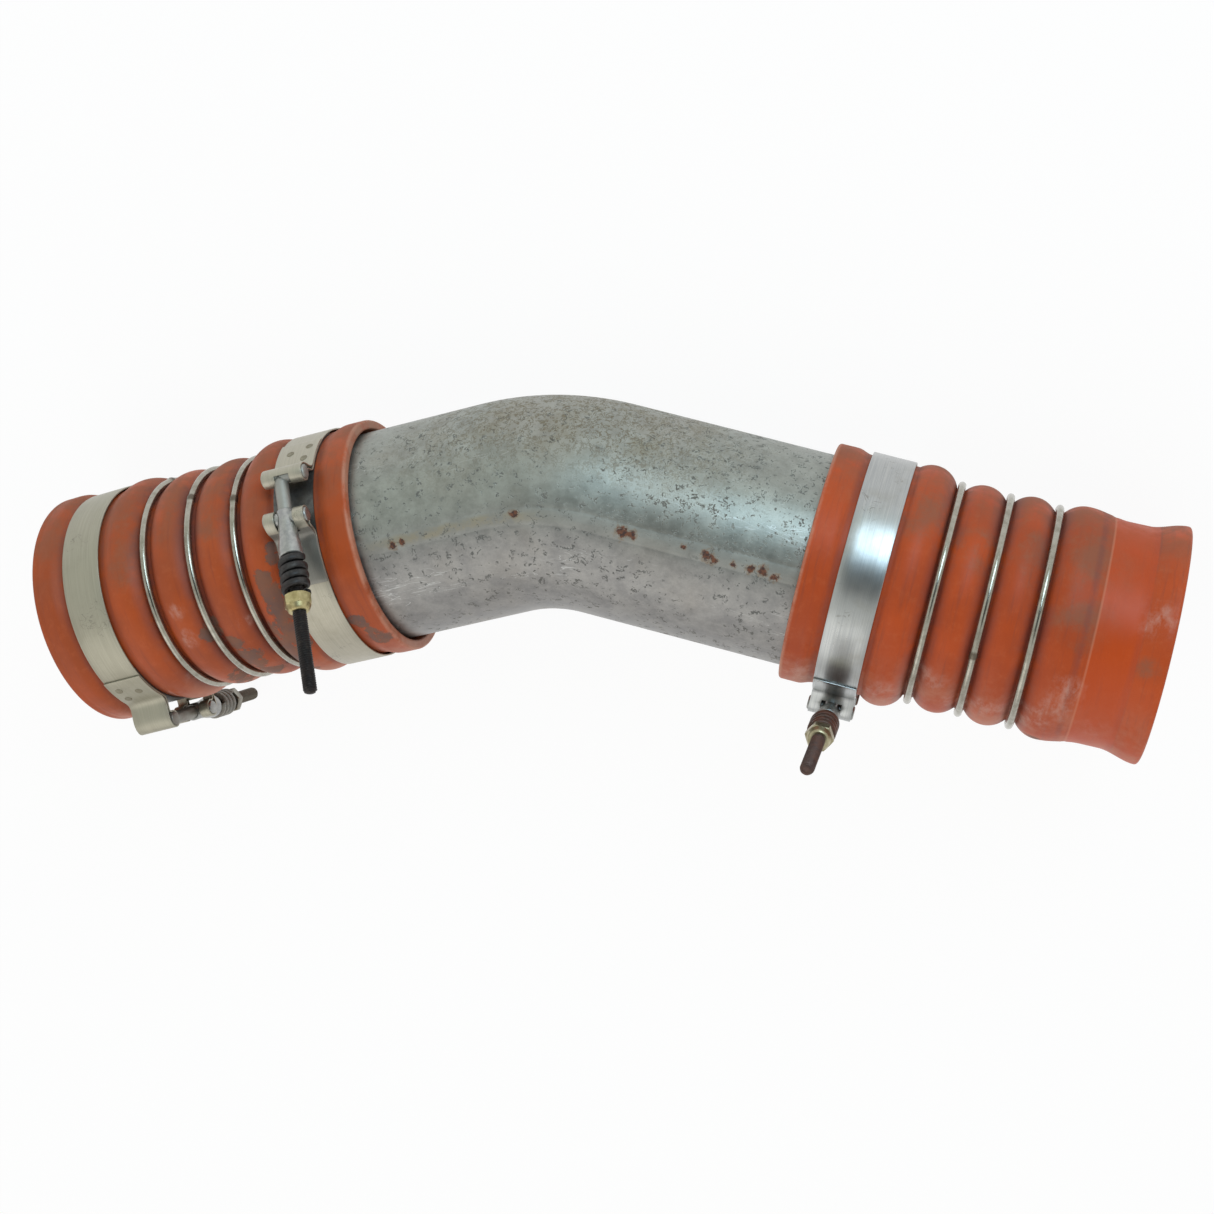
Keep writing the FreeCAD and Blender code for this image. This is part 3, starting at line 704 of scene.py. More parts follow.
SLEEVE_MOUTH = 5.1
SLEEVE_SHARP = math.radians(45)
SLEEVE_BORE = BOLT_DIAMETER / 2 + SEAT_CLEARANCE
SLEEVE_RADIUS = SLEEVE_DIAMETER / 2
SLEEVE_PROFILE = [
    (-3.4, SLEEVE_BORE), (-3.4, SLEEVE_RADIUS - 0.5), (-2.9, SLEEVE_RADIUS), (3, SLEEVE_RADIUS),
    (6, SLEEVE_RADIUS + 0.1), (9, SLEEVE_RADIUS + 0.4), (12, SLEEVE_RADIUS + 0.9), (15, SLEEVE_MOUTH - 0.1),
    (SLEEVE_LENGTH - 0.4, SLEEVE_MOUTH), (SLEEVE_LENGTH, SLEEVE_MOUTH - 0.4), (SLEEVE_LENGTH, SLEEVE_BORE),
]


def trunnion(name, material):
    """The cross bar in the ear loop with the flared sleeve through which the bolt passes."""
    _, on_bolt = bolt_frames(name)
    seat = on_bolt(GAP[name] / 2)
    vertices = []
    for z, r in SLEEVE_PROFILE:
        vertices += turned_rows([z], BOLT_AROUND, seat, lambda angle, level: r)
    faces = ring_faces(len(SLEEVE_PROFILE), BOLT_AROUND, True)
    add_cross_bar(name, GAP[name] / 2, vertices, faces)
    piece = make_piece(name + "_trunnion_sleeve", name + "_trunnion", vertices, faces, material)
    piece.data.set_sharp_from_angle(angle=SLEEVE_SHARP)


COIL_STEPS = 44
WIRE_CORNER = 3.2
SECTION_STEPS = 16


def coil_spring(name, material):
    """A flat-wound spring on the bolt; its wire has a rounded oblong section."""
    _, on_bolt = bolt_frames(name)
    start = on_bolt(GAP[name] / 2 + SLEEVE_LENGTH + SEAT_CLEARANCE)
    rise = SPRING_LENGTH - SPRING_WIRE
    turns = rise / SPRING_PITCH
    count = round(turns * COIL_STEPS)
    middle = SPRING_DIAMETER / 2 - SPRING_DEPTH / 2
    vertices = []
    for i in range(count + 1):
        angle = 2 * math.pi * turns * i / count
        z = SPRING_WIRE / 2 + rise * i / count
        for j in range(SECTION_STEPS):
            turn = 2 * math.pi * j / SECTION_STEPS
            c, s = math.cos(turn), math.sin(turn)
            size = (abs(c) ** WIRE_CORNER + abs(s) ** WIRE_CORNER) ** (-1 / WIRE_CORNER)
            radius = middle + SPRING_DEPTH / 2 * size * c
            level = z + SPRING_WIRE / 2 * size * s
            vertices.append(start @ polar(radius, angle, level))
    faces = turned_faces(count + 1, SECTION_STEPS)
    make_piece(name + "_spring_coil", name + "_spring", vertices, faces, material)


NUT_AROUND = 96
NUT_CHAMFER = 0.7
NUT_CHAMFER_SLOPE = 1.6
NUT_SHARP = math.radians(32)
NUT_HOLE = BOLT_DIAMETER / 2 - 0.2
NUT_TOP = NUT_HEIGHT + COLLAR_HEIGHT
NUT_LEVELS = [0, 0.15, 0.35, 0.6, 2.3, 4.0, 4.25, 4.45, NUT_HEIGHT]
NUT_LEVELS += [NUT_HEIGHT + 0.02, 5.4, 6.2, 6.7, 7.0, NUT_TOP]
COLLAR_ROUND = 2.5
COLLAR_ROUND_FROM = 0.8


def nut_radius(angle, z):
    if z > NUT_HEIGHT:
        share = (z - NUT_HEIGHT) / COLLAR_HEIGHT
        collar = NUT_FLATS / 2 + (COLLAR_DIAMETER / 2 - NUT_FLATS / 2) * share
        return collar - COLLAR_ROUND * max(0.0, share - COLLAR_ROUND_FROM)
    flat = NUT_FLATS / 2 / math.cos((angle % (math.pi / 3)) - math.pi / 6)
    turned_off = NUT_FLATS / math.sqrt(3) - NUT_CHAMFER + NUT_CHAMFER_SLOPE * min(z, NUT_HEIGHT - z)
    return min(flat, turned_off)


def lock_nut(name, material):
    """A hexagon nut with turned-off corners and a round locking collar."""
    _, on_bolt = bolt_frames(name)
    seat = on_bolt(GAP[name] / 2 + SLEEVE_LENGTH + SPRING_LENGTH + 2 * SEAT_CLEARANCE)
    vertices = turned_rows(NUT_LEVELS, NUT_AROUND, seat, nut_radius)
    vertices += turned_rows([NUT_TOP, 0], NUT_AROUND, seat, lambda angle, z: NUT_HOLE)
    faces = ring_faces(len(NUT_LEVELS) + 2, NUT_AROUND, True)
    node = name + "_lock_nut"
    piece = make_piece(node + "_turned", node, vertices, faces, material)
    piece.data.set_sharp_from_angle(angle=NUT_SHARP)


# Materials.


class Graph:
    """A material's nodes, with short calls for the ones that the finishes share."""

    def __init__(self, name):
        self.material = bpy.data.materials.new(name)
        self.material.use_nodes = True
        self.tree = self.material.node_tree
        self.shader = self.tree.nodes["Principled BSDF"]

    def node(self, kind, inputs=None, **settings):
        item = self.tree.nodes.new(kind)
        for key, value in settings.items():
            setattr(item, key, value)
        for key, value in (inputs or {}).items():
            self.feed(item.inputs[key], value)
        return item

    def feed(self, socket, value):
        if isinstance(value, bpy.types.NodeSocket):
            self.tree.links.new(value, socket)
        else:
            socket.default_value = value

    def set(self, **values):
        for key, value in values.items():
            self.feed(self.shader.inputs[key.replace("_", " ")], value)

    def math(self, operation, a, b=0.0, c=0.0):
        item = self.node("ShaderNodeMath", {0: a, 1: b, 2: c}, operation=operation)
        return item.outputs[0]

    def coords(self):
        return self.node("ShaderNodeTexCoord").outputs["Object"]

    def stretched(self, vector, scale):
        return self.node("ShaderNodeMapping", {"Vector": vector, "Scale": scale}).outputs[0]

    def in_frame(self, local):
        """Object coordinates seen from a frame of the part, in metres."""
        place = WORLD @ local
        mapping = self.node("ShaderNodeMapping", {"Vector": self.coords()}, vector_type="TEXTURE")
        mapping.inputs["Location"].default_value = place.to_translation()
        mapping.inputs["Rotation"].default_value = place.to_3x3().normalized().to_euler("XYZ")
        return mapping.outputs[0]

    def noise(self, scale, vector=None, detail=4.0, roughness=0.55, distortion=0.0):
        settings = {"Scale": scale, "Detail": detail, "Roughness": roughness, "Distortion": distortion}
        item = self.node("ShaderNodeTexNoise", settings)
        self.feed(item.inputs["Vector"], vector if vector is not None else self.coords())
        return item.outputs["Fac"]

    def band(self, value, low, high):
        """A smooth step from 0 at low to 1 at high; low may be the greater one."""
        item = self.node("ShaderNodeMapRange", {"Value": value, "From Min": low, "From Max": high},
                         interpolation_type="SMOOTHSTEP")
        return item.outputs["Result"]

    def attribute(self, name):
        return self.node("ShaderNodeAttribute", attribute_name=name).outputs["Fac"]

    def joined(self, x, y):
        return self.node("ShaderNodeCombineXYZ", {"X": x, "Y": y}).outputs[0]

    def chained(self, operation, values):
        result = values[0]
        for value in values[1:]:
            result = self.math(operation, result, value)
        return result

    def times(self, *factors):
        return self.chained("MULTIPLY", factors)

    def plus(self, *terms):
        return self.chained("ADD", terms)

    def less(self, value, taken):
        return self.math("SUBTRACT", value, taken)

    def greatest(self, *values):
        return self.chained("MAXIMUM", values)

    def near(self, value, place, reach, edge):
        """One within the reach of a place and nothing beyond the edge."""
        return self.band(self.math("ABSOLUTE", self.less(value, place)), edge, reach)

    def strokes(self, scale, width, mask_scale, share, vector=None):
        """Short curly strokes: the contour of one noise, kept only where another is high."""
        line = self.near(self.noise(scale, vector, detail=2.0, distortion=0.8), 0.5, width * 0.4, width)
        kept = self.band(self.noise(mask_scale, vector, detail=3.0), 1 - share, 1.04 - share)
        return self.times(line, kept)

    def tint(self, base, mask, share, colour):
        """The base with a colour laid over it where the mask is, by the share at most."""
        return self.mix(self.times(mask, share), base, colour)

    def mix(self, fac, a, b):
        item = self.node("ShaderNodeMix", data_type="RGBA")
        self.feed(item.inputs["Factor"], fac)
        self.feed(item.inputs["A"], self.shade(a))
        self.feed(item.inputs["B"], self.shade(b))
        return item.outputs["Result"]

    @staticmethod
    def shade(value):
        return (*value, 1.0) if isinstance(value, tuple) and len(value) == 3 else value

    def bump(self, height, strength, distance_mm):
        inputs = {"Height": height, "Strength": strength, "Distance": distance_mm * MM}
        return self.node("ShaderNodeBump", inputs).outputs["Normal"]

    def spots(self, across, along, places, wobble, soft=0.15):
        """A mask of ragged spots, each given by its two places in millimetres and its radius."""
        found = []
        for u, v, radius in places:
            du = self.less(across, u)
            dv = self.less(along, v)
            far = self.math("SQRT", self.plus(self.times(du, du), self.times(dv, dv)))
            edge = self.plus(self.math("DIVIDE", far, radius), wobble)
            found.append(self.band(edge, 1 + soft, 1 - soft))
        return self.greatest(*found)

    def done(self, base, roughness, metallic, normal):
        self.set(Base_Color=base, Roughness=roughness, Metallic=metallic, Normal=normal)
        return self.material


def srgb(red, green, blue):
    """An sRGB colour of 0 to 255 as linear values."""
    parts = [c / 255 for c in (red, green, blue)]
    return tuple(((p + 0.055) / 1.055) ** 2.4 if p > 0.04 else p / 12.92 for p in parts)


RING_PLACES = (FIRST_RING, FIRST_RING + RING_PITCH, LAST_RING)
BOOT_EDGES = (TRACK_START, TRACK_END, LAST_RING + FREE_TRACK_START, LAST_RING + FREE_TRACK_END)
BEHIND_FADE = (172, 120)
STAINED_ABOVE = (8, 74)
DUSTY_BELOW = (-30, -72)
RUST_HALO = 1.5


def rubber(name, colours, upward, seen_from, flakes, chalk_and_highlight, stains, bare_track):
    """Aged orange silicone: brown stains above, pale powder below, painted shade with some grime in the
    valleys and along the band tracks' edges, whitish spots (on the right boot one is a painted highlight),
    skin flaked off.
    """
    g = Graph(name + "_silicone")
    axial = g.attribute("axial")
    around = g.attribute("around")
    height = g.less(g.times(around, upward), seen_from)
    around_mm = g.times(around, math.radians(1) * TRACK)
    flat = g.joined(axial, around_mm)
    fade = g.band(g.attribute("behind"), *BEHIND_FADE)
    blotch = g.noise(24, detail=5)
    grain = g.noise(240, detail=6, roughness=0.65)
    speck = g.noise(60, detail=7, roughness=0.72)
    streak = g.times(g.noise(1.0, g.stretched(flat, (0.5, 0.035, 1)), detail=6, roughness=0.65), fade)
    base = g.mix(g.band(blotch, 0.36, 0.66), *colours)
    base = g.tint(base, g.band(grain, 0.48, 0.72), 0.22, srgb(190, 96, 56))
    base = g.tint(base, g.band(streak, 0.5, 0.72), 0.45, srgb(134, 60, 38))
    wobble = g.times(g.less(g.noise(90, detail=8, roughness=0.72), 0.5), 3.4)
    above = g.times(g.band(height, *STAINED_ABOVE), g.band(speck, 0.34, 0.62), fade)
    blots = g.times(g.spots(axial, around_mm, stains, wobble, 0.7), g.band(speck, 0.32, 0.62), fade)
    base = g.tint(base, g.greatest(above, blots), 0.75, srgb(130, 82, 60))
    powder = g.noise(42, detail=7, roughness=0.7)
    below = g.times(g.band(height, *DUSTY_BELOW), g.band(powder, 0.38, 0.66), fade)
    base = g.tint(base, below, 0.5, srgb(186, 134, 110))
    # Painted shade, with a purplish painted reflection and some grime, darkens the rubber by each ring's
    # valley and along the edges of the band tracks.
    ring_valley_shade = g.greatest(*[g.near(axial, place, 1.5, 7.5) for place in RING_PLACES])
    track_edge_shade = g.greatest(*[g.near(axial, place, 0.2, 2.2) for place in BOOT_EDGES])
    shade_and_dirt = g.times(g.greatest(ring_valley_shade, g.times(track_edge_shade, 0.6)), g.band(speck, 0.3, 0.6))
    base = g.tint(base, shade_and_dirt, 0.65, srgb(104, 58, 56))
    worn_edge = g.times(g.near(axial, 0.0, 0.5, 1.8), g.band(speck, 0.3, 0.6))
    base = g.tint(base, worn_edge, 0.6, srgb(190, 142, 120))
    smear = g.noise(1.0, g.stretched(flat, (0.16, 0.09, 1)), detail=7, roughness=0.7)
    # Whitish spots of chalky powder; on the right boot the spot on the free lip is a painted highlight.
    dust_and_highlight = g.times(g.spots(axial, around_mm, chalk_and_highlight, wobble, 0.7), g.band(smear, 0.4, 0.66), fade)
    base = g.tint(base, dust_and_highlight, 0.55, srgb(192, 150, 136))
    roughness = g.plus(0.34, g.times(blotch, 0.26), g.times(above, 0.2))
    if bare_track:
        mark = LAST_RING + FREE_TRACK_START + BAND_MARK
        shiny = g.near(axial, mark + BAND_WIDTH / 2, BAND_WIDTH / 2 - 0.4, BAND_WIDTH / 2 + 0.4)
        base = g.tint(base, shiny, 0.6, srgb(184, 68, 18))
        line = g.near(axial, mark, 0.1, 0.7)
        base = g.tint(base, line, 0.3, srgb(206, 140, 110))
        roughness = g.less(roughness, g.times(shiny, 0.06))
    ragged = g.plus(wobble, g.times(g.less(g.noise(420, detail=5, roughness=0.7), 0.5), 1.4))
    islands = g.band(g.noise(210, detail=5, roughness=0.65), 0.36, 0.44)
    flaked = g.times(g.spots(axial, around_mm, flakes, ragged), islands, fade)
    under_skin = g.mix(g.band(g.noise(120, detail=6), 0.35, 0.7), srgb(122, 84, 66), srgb(98, 78, 72))
    base = g.tint(base, flaked, 0.9, under_skin)
    g.set(Specular_IOR_Level=0.28)
    relief = g.less(g.plus(g.times(grain, 0.3), g.times(streak, 0.3)), flaked)
    return g.done(base, g.plus(roughness, g.times(flaked, 0.12)), 0.0, g.bump(relief, 0.6, 0.25))


def galvanised(rust_places):
    """Zinc-coated tube: mottled grey with a painted reflection, lighter and greener on the crown's side of
    the seam and darker on the other, a dull seam with rust, curly tarnish over the bend, dark pits.
    """
    g = Graph("galvanised_tube")
    along = g.attribute("along")
    around = g.attribute("around")
    around_mm = g.times(around, math.radians(1) * TUBE_RADIUS)
    mottle = g.noise(120, detail=8, roughness=0.75)
    cloud = g.noise(20, detail=4)
    fade = g.band(g.attribute("behind"), *BEHIND_FADE)
    # Painted reflection: the tube is lighter and greener towards the crown and darker on the other side, as
    # if reflecting the studio.
    above = g.times(g.band(around, -4, 24), fade)
    painted_reflection_above = g.mix(g.band(mottle, 0.3, 0.72), srgb(136, 139, 133), srgb(164, 167, 160))
    painted_reflection_below = g.mix(g.band(mottle, 0.3, 0.72), srgb(126, 125, 124), srgb(156, 154, 151))
    base = g.mix(above, painted_reflection_below, painted_reflection_above)
    base = g.tint(base, g.band(cloud, 0.45, 0.7), 0.3, srgb(150, 142, 130))
    from_seam = g.less(around_mm, math.radians(SEAM_ANGLE) * TUBE_RADIUS)
    ragged = g.plus(g.math("ABSOLUTE", from_seam), g.times(g.noise(160, detail=5), 2.4))
    seam = g.times(g.band(ragged, 5.6, 3.4), fade)
    base = g.tint(base, seam, 0.22, srgb(170, 168, 160))
    yellowed = g.times(g.band(ragged, 4.2, 2.0), fade, g.near(along, 74, 16, 48), g.band(mottle, 0.36, 0.6))
    base = g.tint(base, yellowed, 0.42, srgb(156, 138, 96))
    crown = g.times(g.band(around, 22, 62), g.near(along, 118, 10, 95), fade)
    tarnish = g.times(crown, g.band(g.noise(70, detail=8, roughness=0.75), 0.45, 0.66))
    base = g.tint(base, tarnish, 0.4, srgb(132, 118, 88))
    curls = g.greatest(g.strokes(420, 0.055, 330, 0.52), g.strokes(640, 0.06, 420, 0.5))
    brown = g.times(curls, crown, 0.95)
    base = g.tint(base, brown, 0.8, srgb(100, 84, 56))
    pits = g.times(g.strokes(420, 0.06, 300, 0.44), g.band(g.noise(34, detail=3), 0.36, 0.5))
    right_arm = g.times(g.near(along, 190, 30, 95), g.band(around, 4, 16), fade)
    dark = g.greatest(pits, g.times(g.strokes(560, 0.06, 480, 0.42), right_arm))
    base = g.tint(base, dark, 0.78, srgb(76, 74, 68))
    scratch = g.strokes(1.0, 0.012, 0.11, 0.44, g.stretched(g.joined(along, around_mm), (0.05, 0.3, 1)))
    base = g.tint(base, g.times(scratch, fade), 0.4, srgb(206, 208, 206))
    wobble = g.times(g.less(g.noise(420, detail=6, roughness=0.75), 0.5), 4.2)
    halos = [(u, v, r * RUST_HALO) for u, v, r in rust_places]
    stain = g.times(g.spots(along, from_seam, halos, wobble), fade)
    core = g.times(g.spots(along, from_seam, rust_places, wobble), fade)
    base = g.tint(base, stain, 0.35, srgb(140, 108, 72))
    rust = g.mix(g.band(g.noise(700), 0.4, 0.62), srgb(52, 22, 16), srgb(104, 56, 30))
    base = g.tint(base, core, 0.95, rust)
    dull = g.greatest(core, dark, brown, g.times(tarnish, 0.5))
    rough = g.plus(g.times(g.less(mottle, 0.5), 0.3), 0.4)
    rough = g.plus(rough, g.times(g.greatest(dull, g.times(seam, 0.5)), 0.3))
    relief = g.less(g.times(mottle, 0.5), g.greatest(dark, g.times(brown, 0.6)))
    relief = g.plus(relief, g.times(core, 0.8))
    return g.done(base, rough, g.times(g.band(dull, 1.0, 0.0), 0.82), g.bump(relief, 0.4, 0.15))


def band_steel(name, streak_frame, colour, shaded, roughness, metallic, dark_fold):
    """Rolled band steel with fine lines round the clamp, smudges and, on one, a darker folded end."""
    g = Graph(name)
    local = g.in_frame(streak_frame)
    lines = g.noise(1.0, g.stretched(local, (40, 40, 3200)), detail=5, roughness=0.7)
    smudge = g.noise(48, detail=6, roughness=0.68)
    nicks = g.strokes(210, 0.02, 60, 0.4)
    base = g.mix(g.band(lines, 0.3, 0.7), colour, shaded)
    base = g.tint(base, g.band(smudge, 0.48, 0.76), 0.35, srgb(138, 132, 114))
    base = g.tint(base, nicks, 0.5, srgb(112, 108, 98))
    if dark_fold:
        base = g.tint(base, g.band(g.attribute("folded"), 0.2, 0.8), 0.6, srgb(92, 94, 98))
    rough = g.plus(roughness - 0.16, g.times(lines, 0.12), g.times(smudge, 0.2))
    return g.done(base, rough, metallic, g.bump(lines, 0.1, 0.04))


def plain_steel(name, colour, worn, roughness, grime):
    """Pressed or turned steel with grain and grime in patches."""
    g = Graph(name)
    grain = g.noise(420, detail=6, roughness=0.7)
    patch = g.noise(85, detail=6, roughness=0.68)
    base = g.mix(g.band(grain, 0.3, 0.7), colour, worn)
    base = g.tint(base, g.band(patch, 0.45, 0.72), grime, srgb(84, 76, 66))
    rough = g.plus(roughness - 0.14, g.times(g.plus(grain, patch), 0.14))
    return g.done(base, rough, 0.85, g.bump(grain, 0.2, 0.06))


def ring_steel(name, weld_colour):
    """Bright drawn wire with dull stretches, tinted at its weld."""
    g = Graph(name)
    streaks = g.noise(260, detail=6, roughness=0.7)
    patch = g.noise(75, detail=6, roughness=0.65)
    base = g.mix(g.band(streaks, 0.35, 0.7), srgb(172, 169, 158), srgb(146, 142, 130))
    dulled = g.band(patch, 0.52, 0.74)
    base = g.tint(base, dulled, 0.4, srgb(122, 112, 96))
    welded = g.attribute("welded")
    base = g.tint(base, g.band(welded, 0.1, 0.7), 0.85, weld_colour)
    rough = g.plus(g.times(g.greatest(welded, dulled), 0.2), 0.2)
    return g.done(base, rough, 0.95, g.bump(streaks, 0.08, 0.05))


def bolt_steel(name, shank, thread, thread_from, rust):
    """A bolt with a greyish shank, a dark greasy thread and some rust on it."""
    g = Graph(name)
    grain = g.noise(380, detail=6, roughness=0.7)
    on_thread = g.band(g.attribute("along"), thread_from - 2, thread_from + 2)
    base = g.mix(on_thread, shank, thread)
    base = g.tint(base, g.band(grain, 0.5, 0.75), 0.35, srgb(118, 110, 100))
    rusted = g.times(g.band(g.noise(130, detail=6), 0.42, 0.62), rust)
    base = g.mix(rusted, base, srgb(92, 58, 44))
    metallic = g.less(0.75, g.times(rusted, 0.6))
    return g.done(base, g.plus(0.34, g.times(grain, 0.3)), metallic, g.bump(grain, 0.3, 0.1))


def spring_finish(name, colour, worn, rust):
    """Spring steel, oiled dark or gone rusty, with rubbed places."""
    g = Graph(name)
    grain = g.noise(350, detail=6, roughness=0.7)
    base = g.mix(g.band(grain, 0.42, 0.72), colour, worn)
    base = g.tint(base, g.band(g.noise(140, detail=5), 0.42, 0.6), rust, srgb(98, 58, 42))
    return g.done(base, g.plus(0.32, g.times(grain, 0.35)), 0.35, g.bump(grain, 0.35, 0.12))


def zinc_plate(name, bright, dull):
    """Zinc plate, thin and dirty in places."""
    g = Graph(name)
    grain = g.noise(300, detail=5)
    base = g.mix(g.band(grain, 0.3, 0.7), bright, dull)
    base = g.tint(base, g.band(g.noise(150, detail=6), 0.5, 0.7), 0.6, srgb(104, 88, 62))
    return g.done(base, g.plus(0.2, g.times(grain, 0.3)), 0.9, g.bump(grain, 0.25, 0.1))


def dress_node(node, material):
    """Gives a CAD node its finish."""
    item = frame["nodes"][node]
    for slot in item.material_slots:
        slot.material = material
    if not item.material_slots:
        item.data.materials.append(material)


# Stage.

CAMERA_REACH = 20
LIGHT_AIM = Vector((0, 0, 0.05))
FLOOR_HALF = 6.0
FLOOR_GLOW = 0.93
FLOOR_SHADES = ((0.86, 0.86, 0.86), (0.88, 0.88, 0.88))
MAUVE_SIDE = (0.96, 0.95, 0.94, 1)
GREEN_SIDE = (0.93, 0.97, 0.9, 1)
WORLD_STRENGTH = 0.84
OVERHEAD_SHADE = 0.08
OVERHEAD = (0.21, 0.48, 0.85)
OVERHEAD_EDGE = (0.84, 0.95)


def set_camera():
    data = bpy.data.cameras.new("camera")
    data.sensor_width = SENSOR_MM
    data.sensor_fit = "HORIZONTAL"
    data.lens = FOCAL_PIXELS / PHOTO_PIXELS * SENSOR_MM
    data.clip_end = CAMERA_REACH
    camera = bpy.data.objects.new("camera", data)
    bpy.context.collection.objects.link(camera)
    place = from_corner(*CAMERA_PLACE)
    ahead = (from_corner(*CAMERA_AIM) - place).normalized()
    crown = (from_corner(0, 1, 0) - from_corner(0, 0, 0)).normalized()
    level = ahead.cross(crown).normalized()
    rise = level.cross(ahead)
    right = level * math.cos(CAMERA_ROLL) + rise * math.sin(CAMERA_ROLL)
    up = right.cross(ahead)
    turn = Matrix((right, up, -ahead)).transposed()
    camera.matrix_world = Matrix.Translation(place) @ turn.to_4x4()
    bpy.context.scene.camera = camera


def soft_light(name, place, size, power, colour):
    data = bpy.data.lights.new(name, "AREA")
    data.size = size
    data.energy = power
    data.color = colour
    light = bpy.data.objects.new(name, data)
    bpy.context.collection.objects.link(light)
    light.location = place
    light.rotation_euler = (LIGHT_AIM - Vector(place)).to_track_quat("-Z", "Y").to_euler()


def floor_material():
    """White paper that keeps a soft shadow; the rays that show the background see it nearly white."""
    g = Graph("floor_paper")
    g.set(Base_Color=g.mix(g.noise(3.0), *FLOOR_SHADES), Roughness=0.95, Specular_IOR_Level=0.0)
    path = g.node("ShaderNodeLightPath").outputs
    seen = g.greatest(path["Is Camera Ray"], path["Is Glossy Ray"], path["Is Transmission Ray"])
    glow = g.node("ShaderNodeEmission", {"Color": (1, 1, 1, 1), "Strength": 1.0}).outputs[0]
    mixed = g.node("ShaderNodeMixShader", {0: g.times(seen, FLOOR_GLOW), 1: g.shader.outputs[0], 2: glow})
    g.feed(g.tree.nodes["Material Output"].inputs["Surface"], mixed.outputs[0])
    return g.material


def set_world():
    """A soft studio: greenish towards the crown's side, mauve on the other, with a darker patch overhead."""
    world = bpy.data.worlds.new("studio")
    bpy.context.scene.world = world
    world.use_nodes = True
    tree = world.node_tree
    background = tree.nodes["Background"].inputs
    coords = tree.nodes.new("ShaderNodeTexCoord").outputs["Generated"]
    split = tree.nodes.new("ShaderNodeSeparateXYZ")
    side = tree.nodes.new("ShaderNodeMapRange")
    side.inputs["From Min"].default_value = -1
    ramp = tree.nodes.new("ShaderNodeValToRGB")
    ramp.color_ramp.elements[0].color = MAUVE_SIDE
    ramp.color_ramp.elements[1].color = GREEN_SIDE
    overhead = tree.nodes.new("ShaderNodeVectorMath")
    overhead.operation = "DOT_PRODUCT"
    overhead.inputs[1].default_value = OVERHEAD
    shade = tree.nodes.new("ShaderNodeMapRange")
    shade.interpolation_type = "SMOOTHSTEP"
    shade.inputs["From Min"].default_value = OVERHEAD_EDGE[0]
    shade.inputs["From Max"].default_value = OVERHEAD_EDGE[1]
    shade.inputs["To Min"].default_value = WORLD_STRENGTH
    shade.inputs["To Max"].default_value = WORLD_STRENGTH * OVERHEAD_SHADE
    for source, target in (
        (coords, split.inputs[0]), (split.outputs["Y"], side.inputs["Value"]),
        (side.outputs[0], ramp.inputs[0]), (ramp.outputs[0], background["Color"]),
        (coords, overhead.inputs[0]), (overhead.outputs["Value"], shade.inputs["Value"]),
        (shade.outputs[0], background["Strength"]),
    ):
        tree.links.new(source, target)


def set_stage():
    bpy.context.scene.view_settings.view_transform = "Standard"
    corners = [(FLOOR_HALF * x, FLOOR_HALF * y, 0) for x, y in ((-1, -1), (1, -1), (1, 1), (-1, 1))]
    mesh = bpy.data.meshes.new("floor")
    mesh.from_pydata(corners, [], [(0, 1, 2, 3)])
    floor = bpy.data.objects.new("floor", mesh)
    bpy.context.collection.objects.link(floor)
    mesh.materials.append(floor_material())
    set_world()
    soft_light("key", place=(0.75, 1.6, 1.1), size=1.0, power=18, colour=(0.62, 0.84, 1.0))
    soft_light("fill", place=(-0.7, -1.0, 1.5), size=1.6, power=5, colour=(1.0, 0.98, 0.95))


# Places of the wear and of one painted highlight, as distance along the piece, distance round it and radius.
# The distance round is from the view side on the boots and from the seam on the tube.
LEFT_FLAKES = [(42, 6, 4), (40, -1, 5), (40, -9, 6), (42, -18, 7), (43, -26, 7), (46, -35, 7), (48, -45, 6),
               (74, -14, 4.5), (73, -9, 3), (67, -20, 4), (65, -30, 4.5), (65, -38, 5), (64, -46, 5),
               (78, -46, 5), (81, -56, 5), (10, -22, 4), (7, -34, 4.5), (8, -28, 2.5), (35.5, 18, 2.5),
               (36, 13, 2.5)]
LEFT_CHALK = [(84, 1, 3), (84, -12, 3.5), (57, -11, 3), (95, -40, 5)]
LEFT_STAINS = [(97, 42, 13), (101, 28, 8), (62, 38, 10), (84, 52, 12)]
RIGHT_FLAKES = [(28, -58, 2.5), (103, 50, 3)]
# On the right boot the spot at 138 along and -26 round, on the free lip, is a painted highlight; the others
# are whitish powder.
RIGHT_CHALK_AND_HIGHLIGHT = [(114, 10, 5), (111, 18, 8), (58, 24, 6), (44, 38, 8), (138, -26, 6), (83, 31, 7), (10, 38, 8),
               (73, 34, 6), (100, 30, 8), (125, 30, 6)]
RIGHT_STAINS = [(44, -50, 12), (66, -40, 9), (88, -44, 9), (112, -48, 14), (112, -22, 10), (139, -6, 4)]
SEAM_RUST = [(48, -1.5, 1.4), (52, -0.8, 1.1), (100, 1.0, 1.3), (142, 0, 2.0), (146, 0, 1.5), (167, 0.5, 0.9),
             (177, -0.5, 1.8), (180, -1.5, 1.3), (188, -1.5, 1.0), (195, -1.0, 1.4), (200, -1.2, 1.7),
             (205, -2.4, 1.5)]
WELD_ANGLES = {"left": (54, 63, 100), "right": (150, 6, 130)}

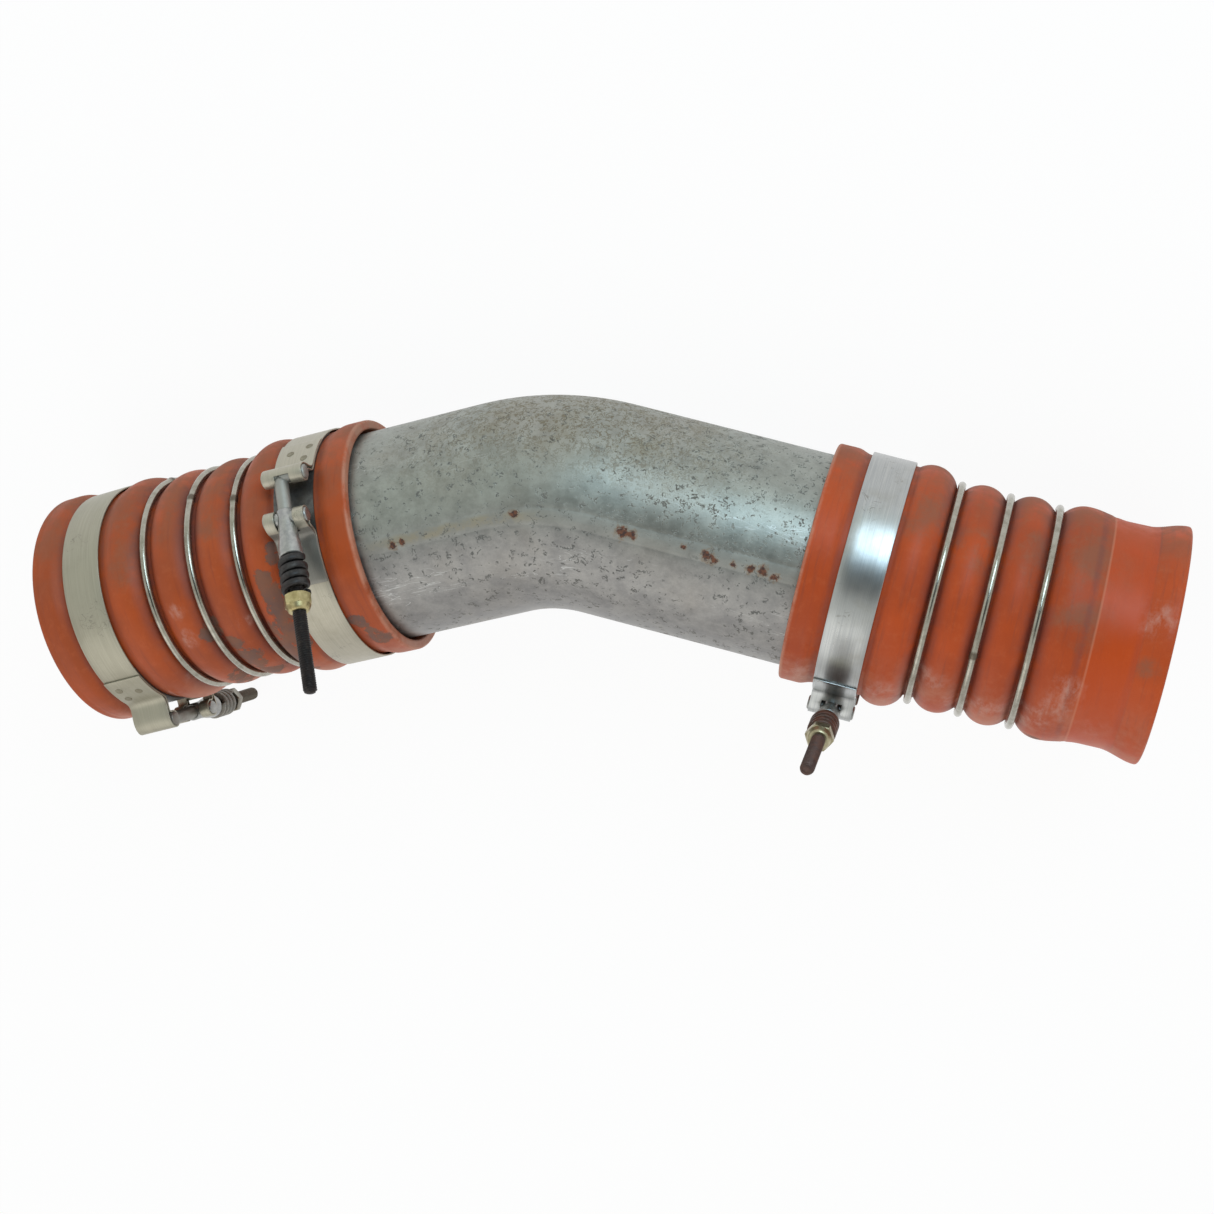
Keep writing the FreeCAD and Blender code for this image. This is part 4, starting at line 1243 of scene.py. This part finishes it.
pipe(galvanised(SEAM_RUST))
left_orange = (srgb(174, 75, 29), srgb(155, 69, 32))
right_orange = (srgb(181, 71, 20), srgb(163, 64, 22))
boot("left", rubber("left", left_orange, 1, 0, LEFT_FLAKES, LEFT_CHALK, LEFT_STAINS, False))
boot("right", rubber("right", right_orange, -1, 25, RIGHT_FLAKES, RIGHT_CHALK_AND_HIGHLIGHT, RIGHT_STAINS, True))
ring_finish = ring_steel("ring_wire", srgb(92, 82, 70))
for side in ("left", "right"):
    for place, ring_frame, weld in zip(RING_NAMES, boot_frames(side)[1], WELD_ANGLES[side]):
        wire_ring(side, place, ring_frame, weld, ring_finish)

nut_finishes = {
    "left_outer": zinc_plate("grey_zinc", srgb(150, 146, 134), srgb(116, 112, 102)),
    "left_inner": zinc_plate("yellow_zinc", srgb(200, 188, 142), srgb(162, 148, 104)),
    "right_inner": zinc_plate("pale_zinc", srgb(184, 176, 146), srgb(148, 138, 110)),
}
sleeve_finish = plain_steel("sleeve_steel", srgb(176, 176, 172), srgb(146, 147, 146), 0.34, 0.35)
spring_finishes = {
    "left_outer": spring_finish("grey_spring", srgb(120, 118, 112), srgb(156, 152, 142), 0.15),
    "left_inner": spring_finish("black_spring", srgb(34, 32, 32), srgb(66, 64, 62), 0.05),
    "right_inner": spring_finish("rusty_spring", srgb(72, 54, 48), srgb(96, 74, 62), 0.8),
}
band_finishes = {
    "left_outer": (srgb(171, 166, 149), srgb(157, 153, 137), 0.44, 0.7, False),
    "left_inner": (srgb(182, 176, 160), srgb(168, 163, 148), 0.42, 0.75, True),
    "right_inner": (srgb(184, 186, 184), srgb(162, 165, 166), 0.31, 1.0, False),
}
bolt_finishes = {
    "left_outer": (srgb(140, 138, 130), srgb(104, 98, 88), 0.3),
    "left_inner": (srgb(158, 158, 152), srgb(40, 38, 38), 0.05),
    "right_inner": (srgb(96, 74, 64), srgb(84, 68, 64), 0.7),
}
spot_places = {
    "left_outer": [(4, -5), (11, -5), (8, 3)],
    "left_inner": [(4, 4), (9, -3), (12, 5)],
}
for name in GAP:
    band_strap(name, band_steel(name + "_band_steel", clamp_seat(name)[0], *band_finishes[name]))
    if name in spot_places:
        spot_finish = plain_steel(name + "_spot_steel", srgb(150, 144, 126), srgb(128, 122, 104), 0.5, 0.3)
        spot_welds(name, spot_places[name], spot_finish)
    bridge_finish = plain_steel(name + "_bridge_steel", srgb(112, 112, 110), srgb(88, 88, 88), 0.45, 0.6)
    dress_node(name + "_bridge", bridge_finish)
    trunnion(name, sleeve_finish)
    shank, thread, rust = bolt_finishes[name]
    t_bolt(name, bolt_steel(name + "_bolt_steel", shank, thread, GAP[name] + SLEEVE_LENGTH, rust))
    coil_spring(name, spring_finishes[name])
    lock_nut(name, nut_finishes[name])

set_camera()
set_stage()
